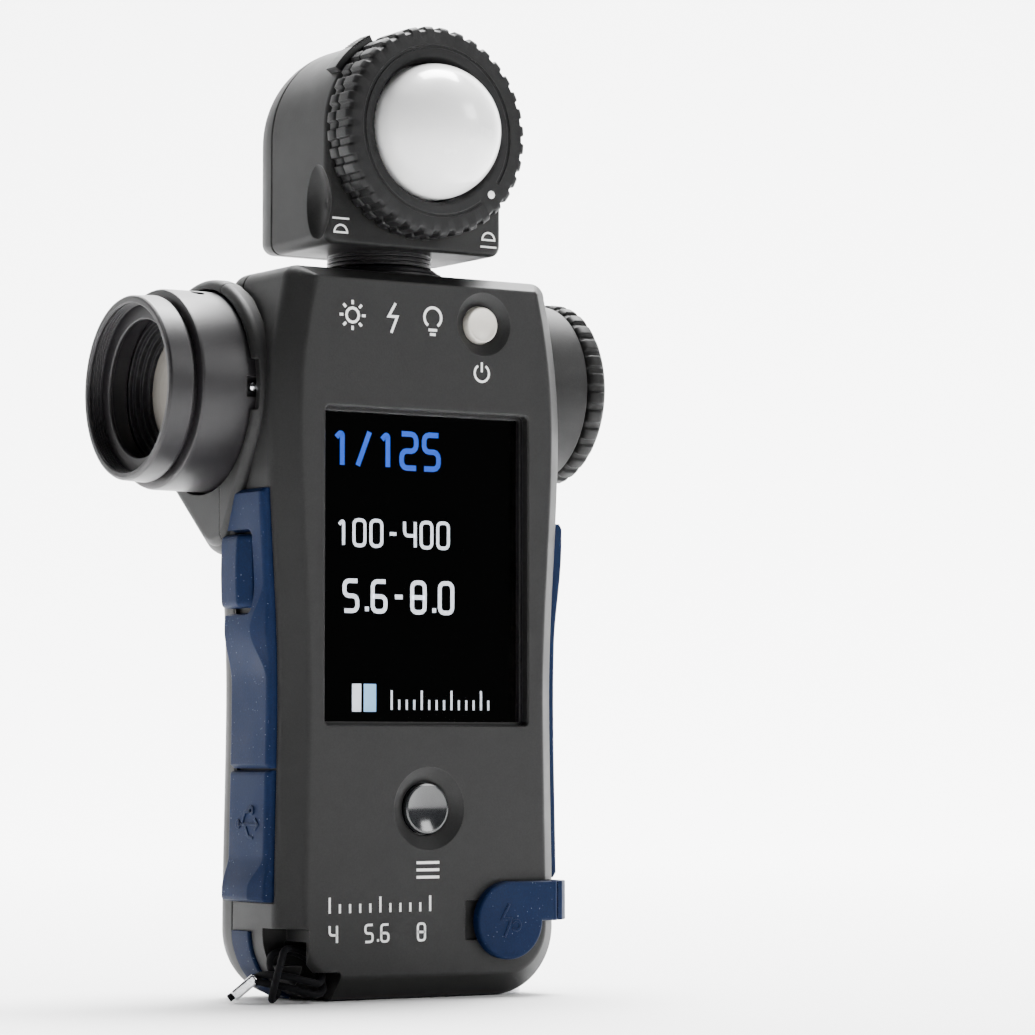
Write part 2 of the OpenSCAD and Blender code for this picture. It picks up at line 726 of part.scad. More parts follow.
module head_tab() color(black) difference() {
    slab(-8.8, -5.4) polygon(concat(
        [for (a = [118 : 4 : 146]) [0, ring_z] + (head_w + 1.4) * [cos(a), sin(a)]],
        [for (a = [146 : -4 : 118]) [0, ring_z] + (head_w + 0.01) * [cos(a), sin(a)]]));
    for (k = [0 : 5]) translate([0, 0, ring_z]) rotate([0, -(120 + 2 * k), 0])
        block([head_w + 1, -10, -0.2], [head_w + 3, 0, 0.2]);
}

module sensor_board() color(board_green) peg([0, ring_z], 15.2, 2.4, 3.8);

module light_sensor() color(steel) peg([0, ring_z], 4, 0.2, 2.4);

module sensor_filter() color(glass_grey) peg([0, ring_z], 5, -1.2, 0.2);

module retract_ring() color(black) difference() {
    translate([0, ring_y1, ring_z]) rotate([90, 0, 0]) {
        knurled(ring_r, 0.6, 36, 2.6);
        cylinder(h = ring_y1 - ring_y0, r = ring_r - 0.9);
        translate([0, 0, 3]) knurled(ring_r, 0.6, 36, ring_y1 - ring_y0 - 3.4);
    }
    peg([0, ring_z], dome_r + 0.35, -20, 0);
    peg([0, ring_z], boss_r + 0.08, ring_y0 + ring_web, 0);
    difference() {
        peg([0, ring_z], 15.7, ring_y0 - 1, ring_y0 + 0.3);
        peg([0, ring_z], 15.2, ring_y0 - 2, 0);
        translate([0, 0, ring_z]) rotate([0, -dot_angle, 0]) block([0, -30, -3], [30, 0, 3]);
    }
    peg([dot_at * cos(dot_angle), ring_z + dot_at * sin(dot_angle)], 0.75, ring_y0 - 1, ring_y0 + 0.4);
}

module index_dot() color("white")
    peg([dot_at * cos(dot_angle), ring_z + dot_at * sin(dot_angle)], 0.74, ring_y0 - 0.03, ring_y0 + 0.39);

module dome_carrier() color(black) difference() {
    peg([0, ring_z], boss_bore - 0.1, carrier_y, carrier_y + 1.6);
    peg([0, ring_z], 10.8, -20, 0);
}

module dome() color("white") translate([0, dome_y, ring_z]) rotate([90, 0, 0])
    rotate_extrude($fn = 96) difference() {
        union() {
            circle(r = dome_r);
            translate([0, dome_y - carrier_y]) square([dome_r, carrier_y - dome_y]);
        }
        union() {
            circle(r = dome_r - 1.2);
            translate([-1, -20]) square([dome_r - 0.2, 20]);
        }
        translate([-20, -20]) square([20, 40]);
        translate([0, dome_y - carrier_y - 20]) square([20, 20]);
    }

// Tube swept along a smooth curve through the route's points
function spline(p, k, t) =
    let (n = len(p) - 1, a = p[max(k - 1, 0)], b = p[k], c = p[k + 1], d = p[min(k + 2, n)])
    b + t * (c - a) / 2 + t * t * (2 * a - 5 * b + 4 * c - d) / 2
    + t * t * t * (3 * b - a - 3 * c + d) / 2;
function unit(v) = v / norm(v);

module strap_cord() color(black) {
    sides = 8;
    line = [for (k = [0 : len(cord_route) - 2], t = [0, 0.5]) spline(cord_route, k, t)];
    path = concat(line, [cord_route[len(cord_route) - 1]]);
    last = len(path) - 1;
    heading = [for (k = [0 : last]) unit(path[min(k + 1, last)] - path[max(k - 1, 0)])];
    rings = [for (k = [0 : last])
        let (u = unit(cross(heading[k], [0.13, 0.05, 1])), v = cross(heading[k], u))
        [for (a = [0 : 360 / sides : 359]) path[k] + cord_d / 2 * (u * cos(a) + v * sin(a))]];
    polyhedron(
        points = [for (r = rings) each r],
        faces = concat(
            [[for (j = [0 : sides - 1]) j]],
            [[for (j = [sides - 1 : -1 : 0]) last * sides + j]],
            [for (k = [0 : last - 1], j = [0 : sides - 1])
                let (a = k * sides + j, b = k * sides + (j + 1) % sides) each
                    [[a, a + sides, b + sides], [a, b + sides, b]]]));
}

module cord_ferrule() color(steel) translate(ferrule_at) rotate([0, -40, -32.5])
    block([-2.6, -1.8, -0.95], [2.6, 1.8, 0.95]);

front_case();
rear_case();
case_gasket();
case_screws();
left_grip();
right_grip();
corner_guard();
display_bezel();
display_window();
lcd_panel();
main_board();
key_switches();
battery_tray();
battery_cells();
battery_contacts();
battery_door();
module_bay();
module_connector();
module_cover();
tripod_socket();
sync_terminal();
sync_strap();
sync_cap();
usb_socket();
usb_cap();
power_button();
menu_button();
measuring_button();
objective_barrel();
filter_ring();
lens_baffle();
objective_lens();
barrel_screws();
objective_tube();
beam_splitter();
spot_sensor();
eyepiece_tube();
eyepiece_housing();
dioptre_ring();
eyepiece_cell();
eyepiece_lens();
neck_flange();
neck_post();
neck_clip();
head_front();
head_rear();
head_screws();
head_tab();
sensor_board();
light_sensor();
sensor_filter();
retract_ring();
index_dot();
dome_carrier();
dome();
strap_cord();
cord_ferrule();
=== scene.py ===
import math

import bmesh
import bpy
from mathutils import Matrix, Vector


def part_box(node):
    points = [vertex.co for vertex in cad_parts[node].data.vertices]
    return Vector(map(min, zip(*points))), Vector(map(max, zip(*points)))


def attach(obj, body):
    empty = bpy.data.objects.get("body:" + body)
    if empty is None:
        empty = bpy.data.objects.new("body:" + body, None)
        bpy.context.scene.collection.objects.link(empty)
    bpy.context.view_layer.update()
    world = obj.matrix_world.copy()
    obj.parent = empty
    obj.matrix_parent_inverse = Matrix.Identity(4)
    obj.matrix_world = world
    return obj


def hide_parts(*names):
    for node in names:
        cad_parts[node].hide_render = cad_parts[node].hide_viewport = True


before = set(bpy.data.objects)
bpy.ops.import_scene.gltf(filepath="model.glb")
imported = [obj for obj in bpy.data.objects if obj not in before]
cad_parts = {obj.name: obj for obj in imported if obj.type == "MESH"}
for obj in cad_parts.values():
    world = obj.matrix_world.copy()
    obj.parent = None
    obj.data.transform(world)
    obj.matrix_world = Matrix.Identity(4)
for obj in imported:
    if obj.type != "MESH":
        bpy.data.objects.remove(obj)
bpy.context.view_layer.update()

# Lengths in this script are millimetres unless a name says metres; MM turns them into metres.
MM = 0.001
BODY = "body"


# ---------- Camera ----------

EYE_M = Vector((-0.370617, -0.603329, 0.043752))
AIM_M = Vector((0.02853, 0, 0.08845))
LENS_MM = 133.94


def add_camera():
    """The camera at the viewing angle: low, from the front left."""
    data = bpy.data.cameras.new("camera")
    data.lens = LENS_MM
    data.sensor_width = 36
    data.clip_start = 0.01
    camera = bpy.data.objects.new("camera", data)
    camera.location = EYE_M
    camera.rotation_mode = "QUATERNION"
    camera.rotation_quaternion = (AIM_M - EYE_M).to_track_quat("-Z", "Y")
    bpy.context.collection.objects.link(camera)
    bpy.context.scene.camera = camera


# ---------- Mesh helpers ----------

def span(node):
    """Lowest and highest corner of a CAD node, in millimetres."""
    low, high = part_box(node)
    return Vector(low) / MM, Vector(high) / MM


def smoothstep(t):
    t = min(1, max(0, t))
    return t * t * (3 - 2 * t)


def mix(a, b, t):
    return a + (b - a) * t


def make(name, verts, faces):
    """A closed mesh object from points in millimetres, with its normals turned outwards."""
    mesh = bpy.data.meshes.new(name)
    mesh.from_pydata([Vector(v) * MM for v in verts], [], faces)
    work = bmesh.new()
    work.from_mesh(mesh)
    bmesh.ops.remove_doubles(work, verts=work.verts, dist=1e-7)
    bmesh.ops.recalc_face_normals(work, faces=work.faces)
    work.to_mesh(mesh)
    work.free()
    obj = bpy.data.objects.new(name, mesh)
    bpy.context.collection.objects.link(obj)
    return obj


def loft(name, loops, ring=False):
    """Skin through loops of equal length; the two ends are capped unless the loops form a ring."""
    count, size = len(loops), len(loops[0])
    faces = []
    for j in range(count if ring else count - 1):
        a, b = j * size, (j + 1) % count * size
        faces += [(a + k, a + (k + 1) % size, b + (k + 1) % size, b + k) for k in range(size)]
    if not ring:
        faces += [tuple(range(size - 1, -1, -1)), tuple(range((count - 1) * size, count * size))]
    return make(name, [p for loop in loops for p in loop], faces)


def arc(centre, radius, start, end, step=6, parts=0):
    """Points along a circle's arc, in degrees, a step apart or in a fixed number of parts."""
    n = parts or max(1, math.ceil(abs(end - start) / step))
    angles = [math.radians(mix(start, end, k / n)) for k in range(n + 1)]
    return [(centre[0] + radius * math.cos(a), centre[1] + radius * math.sin(a)) for a in angles]


def rounded(points, radii, closed=False, step=12, parts=0):
    """An outline with its corners rounded; radii is one number, or one for each point."""
    n = len(points)
    radii = [radii] * n if isinstance(radii, (int, float)) else radii
    out = []
    for k, radius in enumerate(radii):
        p = Vector(points[k])
        if radius == 0 or (not closed and k in (0, n - 1)):
            out.append(tuple(p))
            continue
        a, b = Vector(points[k - 1]) - p, Vector(points[(k + 1) % n]) - p
        half = (math.pi - a.angle(b)) / 2
        cut = min(radius * math.tan(half), 0.49 * a.length, 0.49 * b.length)
        true_radius = cut / math.tan(half)
        middle = (a.normalized() + b.normalized()).normalized()
        centre = p + middle * math.hypot(cut, true_radius)
        first, last = p + a.normalized() * cut - centre, p + b.normalized() * cut - centre
        start = math.degrees(math.atan2(first.y, first.x))
        turn = (math.degrees(math.atan2(last.y, last.x)) - start + 180) % 360 - 180
        out += arc(centre, true_radius, start, start + turn, step, parts)
    return out


def inset(outline, distance):
    """A closed anticlockwise outline moved inwards, or outwards if distance is negative."""
    n = len(outline)
    out = []
    for k in range(n):
        p = Vector(outline[k])
        before, after = p - Vector(outline[k - 1]), Vector(outline[(k + 1) % n]) - p
        left = [Vector((-e.y, e.x)).normalized() for e in (before, after)]
        middle = (left[0] + left[1]).normalized()
        out.append(tuple(p + middle * distance / max(0.5, middle.dot(left[0]))))
    return out


def rim(depth0, depth1, edge0, edge1=0):
    """(depth, inset) pairs of a slab's side, with a round edge at each end."""
    steps = 5
    quarter = [math.radians(90 * k / steps) for k in range(steps + 1)]
    front = [(depth0 + edge0 * (1 - math.cos(a)), edge0 * (1 - math.sin(a))) for a in quarter]
    back = [(depth1 - edge1 * (1 - math.cos(a)), edge1 * (1 - math.sin(a))) for a in reversed(quarter)]
    return (front if edge0 else [(depth0, 0)]) + (back if edge1 else [(depth1, 0)])


AXES = {"x": lambda s, u, v: (s, u, v), "y": lambda s, u, v: (u, s, v), "z": lambda s, u, v: (u, v, s)}


def slab(name, outline, rows, axis="y"):
    """A solid swept along an axis from an outline in the other two; rows are (depth, inset) pairs."""
    at = AXES[axis]
    return loft(name, [[at(s, u, v) for u, v in (inset(outline, d) if d else outline)] for s, d in rows])


def box(name, low, high, edge=0):
    """A block between two corners, with rounded edges along Y."""
    corners = [(low[0], low[2]), (high[0], low[2]), (high[0], high[2]), (low[0], high[2])]
    outline = rounded(corners, edge, closed=True) if edge else corners
    return slab(name, outline, [(low[1], 0), (high[1], 0)])


def revolve(name, profile, axis, centre, steps=128, shape=None):
    """A solid of revolution; the profile's points are (radius, place along the axis), and centre is
    the axis's place in the other two directions. shape(r, s, angle) may change a point."""
    at = AXES[axis]
    loops = []
    for k in range(steps):
        a = 2 * math.pi * k / steps
        points = [shape(r, s, a) if shape else (r, s) for r, s in profile]
        loops.append([at(s, centre[0] + r * math.cos(a), centre[1] + r * math.sin(a)) for r, s in points])
    return loft(name, loops, ring=True)


def rod(axis, radius, low, high, centre, steps=72):
    """A cylinder along an axis."""
    return revolve("rod", [(0, low), (radius, low), (radius, high), (0, high)], axis, centre, steps)


def carve(obj, cutters, operation="DIFFERENCE"):
    """Cuts closed meshes out of obj, or joins them on, and uses them up."""
    for cutter in cutters:
        change = obj.modifiers.new("carve", "BOOLEAN")
        change.object, change.operation, change.solver = cutter, operation, "EXACT"
        graph = bpy.context.evaluated_depsgraph_get()
        mesh = bpy.data.meshes.new_from_object(obj.evaluated_get(graph))
        obj.modifiers.clear()
        obj.data = mesh
        bpy.data.objects.remove(cutter)
    return obj


def fit(obj, finish, body=BODY, nodes=(), sharp=32):
    """Shades a piece, gives it its finish and its body, and hides the CAD nodes that it stands for."""
    obj.data.shade_smooth()
    obj.data.set_sharp_from_angle(angle=math.radians(sharp))
    normals = obj.modifiers.new("normals", "WEIGHTED_NORMAL")
    normals.keep_sharp = True
    obj.data.materials.clear()
    obj.data.materials.append(material(finish))
    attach(obj, body)
    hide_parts(*nodes)
    return obj


# ---------- Materials ----------


def node_of(tree, kind, **sockets):
    """A shader node with its inputs set, or linked where the value is a socket."""
    node = tree.nodes.new(kind)
    for key, value in sockets.items():
        if isinstance(value, bpy.types.NodeSocket):
            tree.links.new(value, node.inputs[key])
        else:
            node.inputs[key].default_value = value
    return node


def noise(tree, size_mm, detail=2.0):
    """Noise with grains of about size_mm, in the object's own frame."""
    place = tree.nodes.new("ShaderNodeTexCoord").outputs["Object"]
    grains = node_of(tree, "ShaderNodeTexNoise", Vector=place, Scale=1 / (size_mm * MM), Detail=detail)
    return grains.outputs["Fac"]


def ramp(tree, value, low, high, to_low=0.0, to_high=1.0):
    """Value mapped from low..high to to_low..to_high, clamped."""
    node = node_of(tree, "ShaderNodeMapRange", Value=value)
    for key, number in (("From Min", low), ("From Max", high), ("To Min", to_low), ("To Max", to_high)):
        node.inputs[key].default_value = number
    return node.outputs["Result"]


def blend_colour(tree, factor, first, second):
    """Mix of two colours or colour sockets."""
    node = tree.nodes.new("ShaderNodeMix")
    node.data_type = "RGBA"
    for index, value in ((0, factor), (6, first), (7, second)):
        if isinstance(value, bpy.types.NodeSocket):
            tree.links.new(value, node.inputs[index])
        else:
            node.inputs[index].default_value = value
    return node.outputs[2]


def rgba(colour, gain=1.0):
    return (*[min(1, c * gain) for c in colour], 1)


def moulded(tree, colour, rough=0.5, grain=0.35, depth=0.012, edge=0.25, edge_wear_and_highlight=0.5, fleck=0.0, vary=0.2):
    """Colour, roughness and normal of a moulded or machined surface: fine grain, soft tone changes,
    lighter edges that are partly wear and partly a painted highlight, and tiny flecks of dust."""
    fine, broad = noise(tree, grain), noise(tree, 14, 3)
    tone = blend_colour(tree, ramp(tree, fine, 0.3, 0.7), rgba(colour, 1 - vary), rgba(colour, 1 + vary))
    tone = blend_colour(tree, ramp(tree, broad, 0.3, 0.75, 0, 0.35), tone, rgba(colour, 1 + 1.2 * vary))
    soft = node_of(tree, "ShaderNodeBevel", Radius=edge * MM)
    soft.samples = 4
    facing = tree.nodes.new("ShaderNodeNewGeometry").outputs["Normal"]
    turn = tree.nodes.new("ShaderNodeVectorMath")
    turn.operation = "DOT_PRODUCT"
    tree.links.new(soft.outputs["Normal"], turn.inputs[0])
    tree.links.new(facing, turn.inputs[1])
    # Edges are painted lighter where the rounded normal turns away from the true one: partly wear, partly a
    # painted highlight.
    wear_and_highlight_mask = ramp(tree, turn.outputs["Value"], 0.985, 0.8, 0, edge_wear_and_highlight)
    tone = blend_colour(tree, wear_and_highlight_mask, tone, rgba([0.12 + 0.5 * c for c in colour]))
    if fleck:
        dust = ramp(tree, noise(tree, 0.3, 0), 0.82, 0.86, 0, fleck)
        tone = blend_colour(tree, dust, tone, (0.2, 0.23, 0.28, 1))
    bump = node_of(tree, "ShaderNodeBump", Height=fine, Normal=soft.outputs["Normal"])
    bump.inputs["Strength"].default_value = 1
    bump.inputs["Distance"].default_value = depth * MM
    return tone, ramp(tree, broad, 0.3, 0.7, rough * 0.9, rough * 1.12), bump.outputs["Normal"]


# Each finish: colour, roughness, metallic, and what differs in its grain and its edges, which are painted
# lighter as wear and as a painted highlight
FINISHES = {
    "charcoal_plastic": ((0.0085, 0.0085, 0.0085), 0.5, 0, dict(grain=0.3, depth=0.016, edge_wear_and_highlight=0.22)),
    "navy_rubber": ((0.0008, 0.0065, 0.028), 0.6, 0, dict(grain=0.3, depth=0.02, fleck=0.45, edge_wear_and_highlight=0.12)),
    "black_plastic": ((0.003, 0.003, 0.0032), 0.42, 0, dict(grain=0.4, depth=0.01, edge_wear_and_highlight=0.2)),
    "black_rubber": ((0.005, 0.005, 0.005), 0.55, 0, dict(grain=0.25, depth=0.02, edge_wear_and_highlight=0.2)),
    "ring_plastic": ((0.005, 0.005, 0.0052), 0.5, 0, dict(grain=0.28, depth=0.03, edge_wear_and_highlight=0.25)),
    "black_metal": ((0.0085, 0.0078, 0.0088), 0.42, 0.1, dict(grain=0.16, depth=0.008, edge_wear_and_highlight=0.3)),
    "steel": ((0.5, 0.5, 0.52), 0.32, 1, dict(grain=0.2, depth=0.004, edge_wear_and_highlight=0.2)),
    "polished_steel": ((0.75, 0.76, 0.78), 0.22, 1, dict(grain=0.6, depth=0.012, edge_wear_and_highlight=0.2)),
    "brass": ((0.6, 0.42, 0.16), 0.3, 1, dict(grain=0.25, depth=0.004, edge_wear_and_highlight=0.2)),
    "board": ((0.02, 0.09, 0.035), 0.45, 0, dict(grain=1.2, depth=0.01, edge_wear_and_highlight=0.1)),
    "cells": ((0.05, 0.09, 0.12), 0.35, 0.4, dict(grain=2.5, depth=0.002, edge_wear_and_highlight=0.2)),
    "ivory_plastic": ((0.50, 0.475, 0.43), 0.3, 0, dict(grain=0.5, depth=0.003, edge_wear_and_highlight=0.3, vary=0.03)),
    "grey_plastic": ((0.012, 0.013, 0.014), 0.16, 0, dict(grain=0.8, depth=0.001, edge_wear_and_highlight=0.3)),
    "white_paint": ((0.75, 0.75, 0.74), 0.5, 0, dict(grain=0.2, depth=0.004, edge_wear_and_highlight=0, vary=0.04)),
    "braid": ((0.004, 0.004, 0.005), 0.7, 0, dict(grain=0.12, depth=0.03, edge=0.05, edge_wear_and_highlight=0.05)),
    "lcd": ((0.0005, 0.0005, 0.0007), 0.3, 0, dict(grain=0.2, depth=0.0005, edge_wear_and_highlight=0)),
}
SHEEN_LEVEL = {"charcoal_plastic": 0.2, "navy_rubber": 0.1, "black_rubber": 0.2, "ring_plastic": 0.18,
               "black_metal": 0.35, "black_plastic": 0.3, "braid": 0.1, "lcd": 0.05, "grey_plastic": 0.6}
GLOWS = {"screen_white": (0.9, 0.93, 1), "screen_blue": (0.0, 0.07, 0.55), "screen_pale": (0.3, 0.6, 0.9)}


MADE = {}


def material(name):
    """The material of that name, made the first time it is asked for."""
    if name in MADE:
        return MADE[name]
    made = bpy.data.materials.new(name)
    made.use_nodes = True
    MADE[name] = made
    tree = made.node_tree
    shader = tree.nodes["Principled BSDF"]
    if name in FINISHES:
        colour, rough, metallic, detail = FINISHES[name]
        tone, roughness, normal = moulded(tree, colour, rough, **detail)
        tree.links.new(tone, shader.inputs["Base Color"])
        tree.links.new(roughness, shader.inputs["Roughness"])
        tree.links.new(normal, shader.inputs["Normal"])
        shader.inputs["Metallic"].default_value = metallic
        shader.inputs["Specular IOR Level"].default_value = SHEEN_LEVEL.get(name, 0.5)
    elif name in GLOWS:
        glow(tree, shader, GLOWS[name])
    else:
        recipes = {"screen_glass": screen_glass, "optical_glass": optical_glass, "white_plastic": opal}
        recipes[name](tree, shader)
    return made


def glow(tree, shader, colour):
    """A lit part of the read-out, with the faint unevenness of its backlight."""
    level = ramp(tree, noise(tree, 3), 0.2, 0.8, 0.9, 1.05)
    tone = blend_colour(tree, level, (0, 0, 0, 1), rgba(colour))
    tree.links.new(tone, shader.inputs["Base Color"])
    tree.links.new(tone, shader.inputs["Emission Color"])
    shader.inputs["Emission Strength"].default_value = 0.9
    shader.inputs["Roughness"].default_value = 0.5


def screen_glass(tree, shader):
    """Clear cover glass with a few faint smears."""
    shader.inputs["Base Color"].default_value = (0.9, 0.93, 0.96, 1)
    shader.inputs["Transmission Weight"].default_value = 1
    shader.inputs["IOR"].default_value = 1.5
    tree.links.new(ramp(tree, noise(tree, 9, 4), 0.45, 0.8, 0.02, 0.06), shader.inputs["Roughness"])


def optical_glass(tree, shader):
    """Coated lens glass that shows a warm grey sheen."""
    patches = ramp(tree, noise(tree, 12), 0.3, 0.7)
    tone = blend_colour(tree, patches, (0.30, 0.28, 0.25, 1), (0.36, 0.34, 0.31, 1))
    tree.links.new(tone, shader.inputs["Base Color"])
    shader.inputs["Transmission Weight"].default_value = 0.35
    shader.inputs["IOR"].default_value = 1.6
    tree.links.new(ramp(tree, noise(tree, 5), 0.3, 0.7, 0.03, 0.07), shader.inputs["Roughness"])


def opal(tree, shader):
    """Opal white plastic with a clear gloss."""
    patches = ramp(tree, noise(tree, 4), 0.3, 0.7)
    tone = blend_colour(tree, patches, (0.80, 0.80, 0.80, 1), (0.84, 0.84, 0.83, 1))
    tree.links.new(tone, shader.inputs["Base Color"])
    shader.inputs["Subsurface Weight"].default_value = 0.35
    shader.inputs["Subsurface Radius"].default_value = (1, 1, 1)
    shader.inputs["Subsurface Scale"].default_value = 2.5 * MM
    shader.inputs["Coat Weight"].default_value = 0.5
    shader.inputs["Coat Roughness"].default_value = 0.04
    tree.links.new(ramp(tree, noise(tree, 6), 0.3, 0.7, 0.2, 0.28), shader.inputs["Roughness"])


def finish_frame():
    """Materials of the CAD nodes that show as they are."""
    groups = {
        "charcoal_plastic": "front_case rear_case battery_door module_cover head_front head_rear "
                            "eyepiece_housing",
        "navy_rubber": "left_grip right_grip corner_guard sync_strap sync_cap usb_cap measuring_button",
        "black_plastic": "display_bezel battery_tray module_bay head_tab dome_carrier lens_baffle "
                         "eyepiece_cell",
        "black_rubber": "case_gasket dioptre_ring",
        "ring_plastic": "retract_ring",
        "black_metal": "objective_barrel filter_ring objective_tube eyepiece_tube neck_flange neck_post",
        "steel": "case_screws battery_contacts tripod_socket usb_socket barrel_screws neck_clip "
                 "head_screws key_switches light_sensor spot_sensor",
        "polished_steel": "cord_ferrule",
        "brass": "module_connector sync_terminal",
        "board": "main_board sensor_board",
        "cells": "battery_cells",
        "screen_glass": "display_window",
        "lcd": "lcd_panel",
        "optical_glass": "beam_splitter objective_lens eyepiece_lens sensor_filter",
        "ivory_plastic": "power_button",
        "grey_plastic": "menu_button",
        "white_plastic": "index_dot dome",
        "braid": "strap_cord",
    }
    for finish, nodes in groups.items():
        for node in nodes.split():
            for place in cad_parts[node].material_slots:
                place.material = material(finish)


# ---------- Floor and light ----------

def add_stage():
    """A pale floor that curves up into a backdrop."""
    front, back, top, half, bend = -2.0, 1.5, 3, 2.6, 0.6
    profile = [(front, 0)] + arc((back - bend, bend), bend, -90, 0, 10) + [(back, top)]
    verts = [Vector((x, y, z)) / MM for x in (-half, half) for y, z in profile]
    n = len(profile)
    floor = make("floor", verts, [(k, k + 1, n + k + 1, n + k) for k in range(n - 1)])
    floor.rotation_euler = (0, 0, math.radians(-33.5))
    floor.data.shade_smooth()
    paint = bpy.data.materials.new("floor")
    paint.use_nodes = True
    shader = paint.node_tree.nodes["Principled BSDF"]
    shader.inputs["Base Color"].default_value = (0.93, 0.93, 0.93, 1)
    shader.inputs["Roughness"].default_value = 0.9
    floor.data.materials.append(paint)


def add_light(name, place, aim, size, power):
    """A soft square light, in metres and watts."""
    data = bpy.data.lights.new(name, "AREA")
    data.size = size
    data.energy = power
    light = bpy.data.objects.new(name, data)
    light.location = place
    light.rotation_mode = "QUATERNION"
    light.rotation_quaternion = (Vector(aim) - Vector(place)).to_track_quat("-Z", "Y")
    bpy.context.collection.objects.link(light)


def add_lights():
    """A softbox behind on the left, a key from the front right and above, and one on the backdrop."""
    middle = (0, 0, 0.09)
    add_light("left_soft", (-0.9, 0.75, 0.45), middle, 0.6, 6)
    add_light("front_key", (0.75, -1.0, 0.75), middle, 0.5, 12)
    add_light("top_soft", (-0.1, 0.15, 1.2), middle, 0.4, 2)
    add_light("backdrop_soft", (0.55, 0.55, 2.1), (0.8, 1.25, 0.3), 1.2, 330)
    world = bpy.data.worlds.new("world")
    world.use_nodes = True
    world.node_tree.nodes["Background"].inputs["Color"].default_value = (0.95, 0.97, 1, 1)
    world.node_tree.nodes["Background"].inputs["Strength"].default_value = 0.05
    bpy.context.scene.world = world


# ---------- Strap cord ----------

CORD_D = 1.3
CORD_ROUTE = [
    (-34.9, -3.3, 0.85), (-32.4, -4.9, 2.95), (-30.6, -6, 4.7), (-30.1, -9.4, 5.1),
    (-27.8, -12.3, 4.8), (-24.6, -13.9, 3.9), (-22.6, -13.6, 3.6), (-20.9, -12, 4.6),
    (-20.6, -10, 6.8), (-22.6, -9, 8.7), (-25.6, -9.6, 9.6), (-28.4, -11.6, 9.4),
    (-30, -13.2, 7.6), (-31, -13.6, 5.2), (-31.3, -12.9, 2.8), (-30.6, -11, 1),
    (-29, -8.9, 0.95), (-27.6, -8, 2.2), (-28.1, -7.6, 4.4), (-29, -7.5, 6.8),
    (-28.4, -7.6, 8.6), (-25.6, -7.5, 9), (-22.8, -7.4, 8.4), (-20.4, -8, 6.6),
    (-19.9, -9.6, 4.4), (-20.6, -11.8, 2.4), (-22.8, -13.4, 1.6), (-25.2, -13.2, 2.1),
    (-28, -11.8, 3), (-30, -9.6, 3.4), (-31.9, -7.6, 3.9), (-33.3, -6.2, 2.95), (-35.7, -4.7, 0.85),
]


def spline(points, steps):
    """A smooth line through the points."""
    p = [Vector(v) for v in points]
    last = len(p) - 1
    line = []
    for k in range(last):
        a, b, c, d = p[max(k - 1, 0)], p[k], p[k + 1], p[min(k + 2, last)]
        for t in [j / steps for j in range(steps)]:
            line.append(b + t * (c - a) / 2 + t * t * (2 * a - 5 * b + 4 * c - d) / 2
                        + t ** 3 * (3 * b - a - 3 * c + d) / 2)
    return line + [p[last]]


def length_of(line):
    return sum((b - a).length for a, b in zip(line, line[1:]))


def tube(name, line, radius, sides=16, shape=None):
    """A closed tube along a line, with frames carried along it so that it never twists."""
    side = (line[1] - line[0]).cross(Vector((0.13, 0.05, 1))).normalized()
    loops, way = [], 0
    for k, p in enumerate(line):
        heading = (line[min(k + 1, len(line) - 1)] - line[max(k - 1, 0)]).normalized()
        side = (side - heading * side.dot(heading)).normalized()
        up = heading.cross(side)
        way += (p - line[k - 1]).length if k else 0
        loops.append([])
        for j in range(sides):
            a = 2 * math.pi * j / sides
            r = radius * (shape(a, way) if shape else 1)
            loops[-1].append(p + side * r * math.cos(a) + up * r * math.sin(a))
    return loft(name, loops)


def braided(a, way):
    """Two sets of yarns that cross: the higher of two opposite helices."""
    turn = 2 * math.pi * way / 3.2
    yarn = max(abs(math.cos(2 * a + turn)), abs(math.cos(2 * a - turn)))
    return 0.91 + 0.09 * yarn


def add_cord():
    """The strap cord, from one cut end in the crimp round the corner bar to the other."""
    line = spline(CORD_ROUTE, 10)
    cord = fit(tube("strap_cord_braid", line, CORD_D / 2, 20, braided), "braid", nodes=["strap_cord"])
    length_of(line) * MM


# ---------- Case ----------

CASE_H = 131.5
BASE_W, WAIST_W, SHOULDER_W, TOP_W = 29.7, 29.1, 31.1, 27.2
WAIST_Z, SHOULDER_Z = 55, 103
CORNER_R, TOP_R, TOP_SHARE = 12.5, 3, 0.5
FRONT_Y, PART_Y, BACK_Y = span("front_case")[0].y, 5, 14
BEVEL_W, BEVEL_D, WALL = 4.3, 3.9, 2
LENS_LOW, LENS_HIGH = span("objective_lens")
AXIS_Y = (LENS_LOW.y + LENS_HIGH.y) / 2
LENS_Z = (LENS_LOW.z + LENS_HIGH.z) / 2
EYE_Z = (span("dioptre_ring")[0].z + span("dioptre_ring")[1].z) / 2
BARREL_R, EYE_R = 18.3, 16.9
HOUSING_R, HOUSING_FOOT = 20, Vector((8, 88))
SCREW_AT = [(x, z) for x in (-25.8, 25.8) for z in (42, 84)]
SOCKET_AT, SOCKET_R, SOCKET_H = (20, -5), 4.77, 7
SCREEN_W, SCREEN_H = 43.2, 56.9
GUARD_AT = (CORNER_R - BASE_W, CORNER_R)
LET_IN = 0.8
KEY_STEM_Z = 6.6
FAR = 60
SYNC_AT, SYNC_R, HINGE_X = (16.7, 13.8), 7.1, 26.3
TAB_Z0, TAB_Z1 = 13.5, 20.9
KEY_LOW, KEY_HIGH = span("measuring_button")
GRIP_Y0, GRIP_Y1 = span("left_grip")[0].y, span("left_grip")[1].y


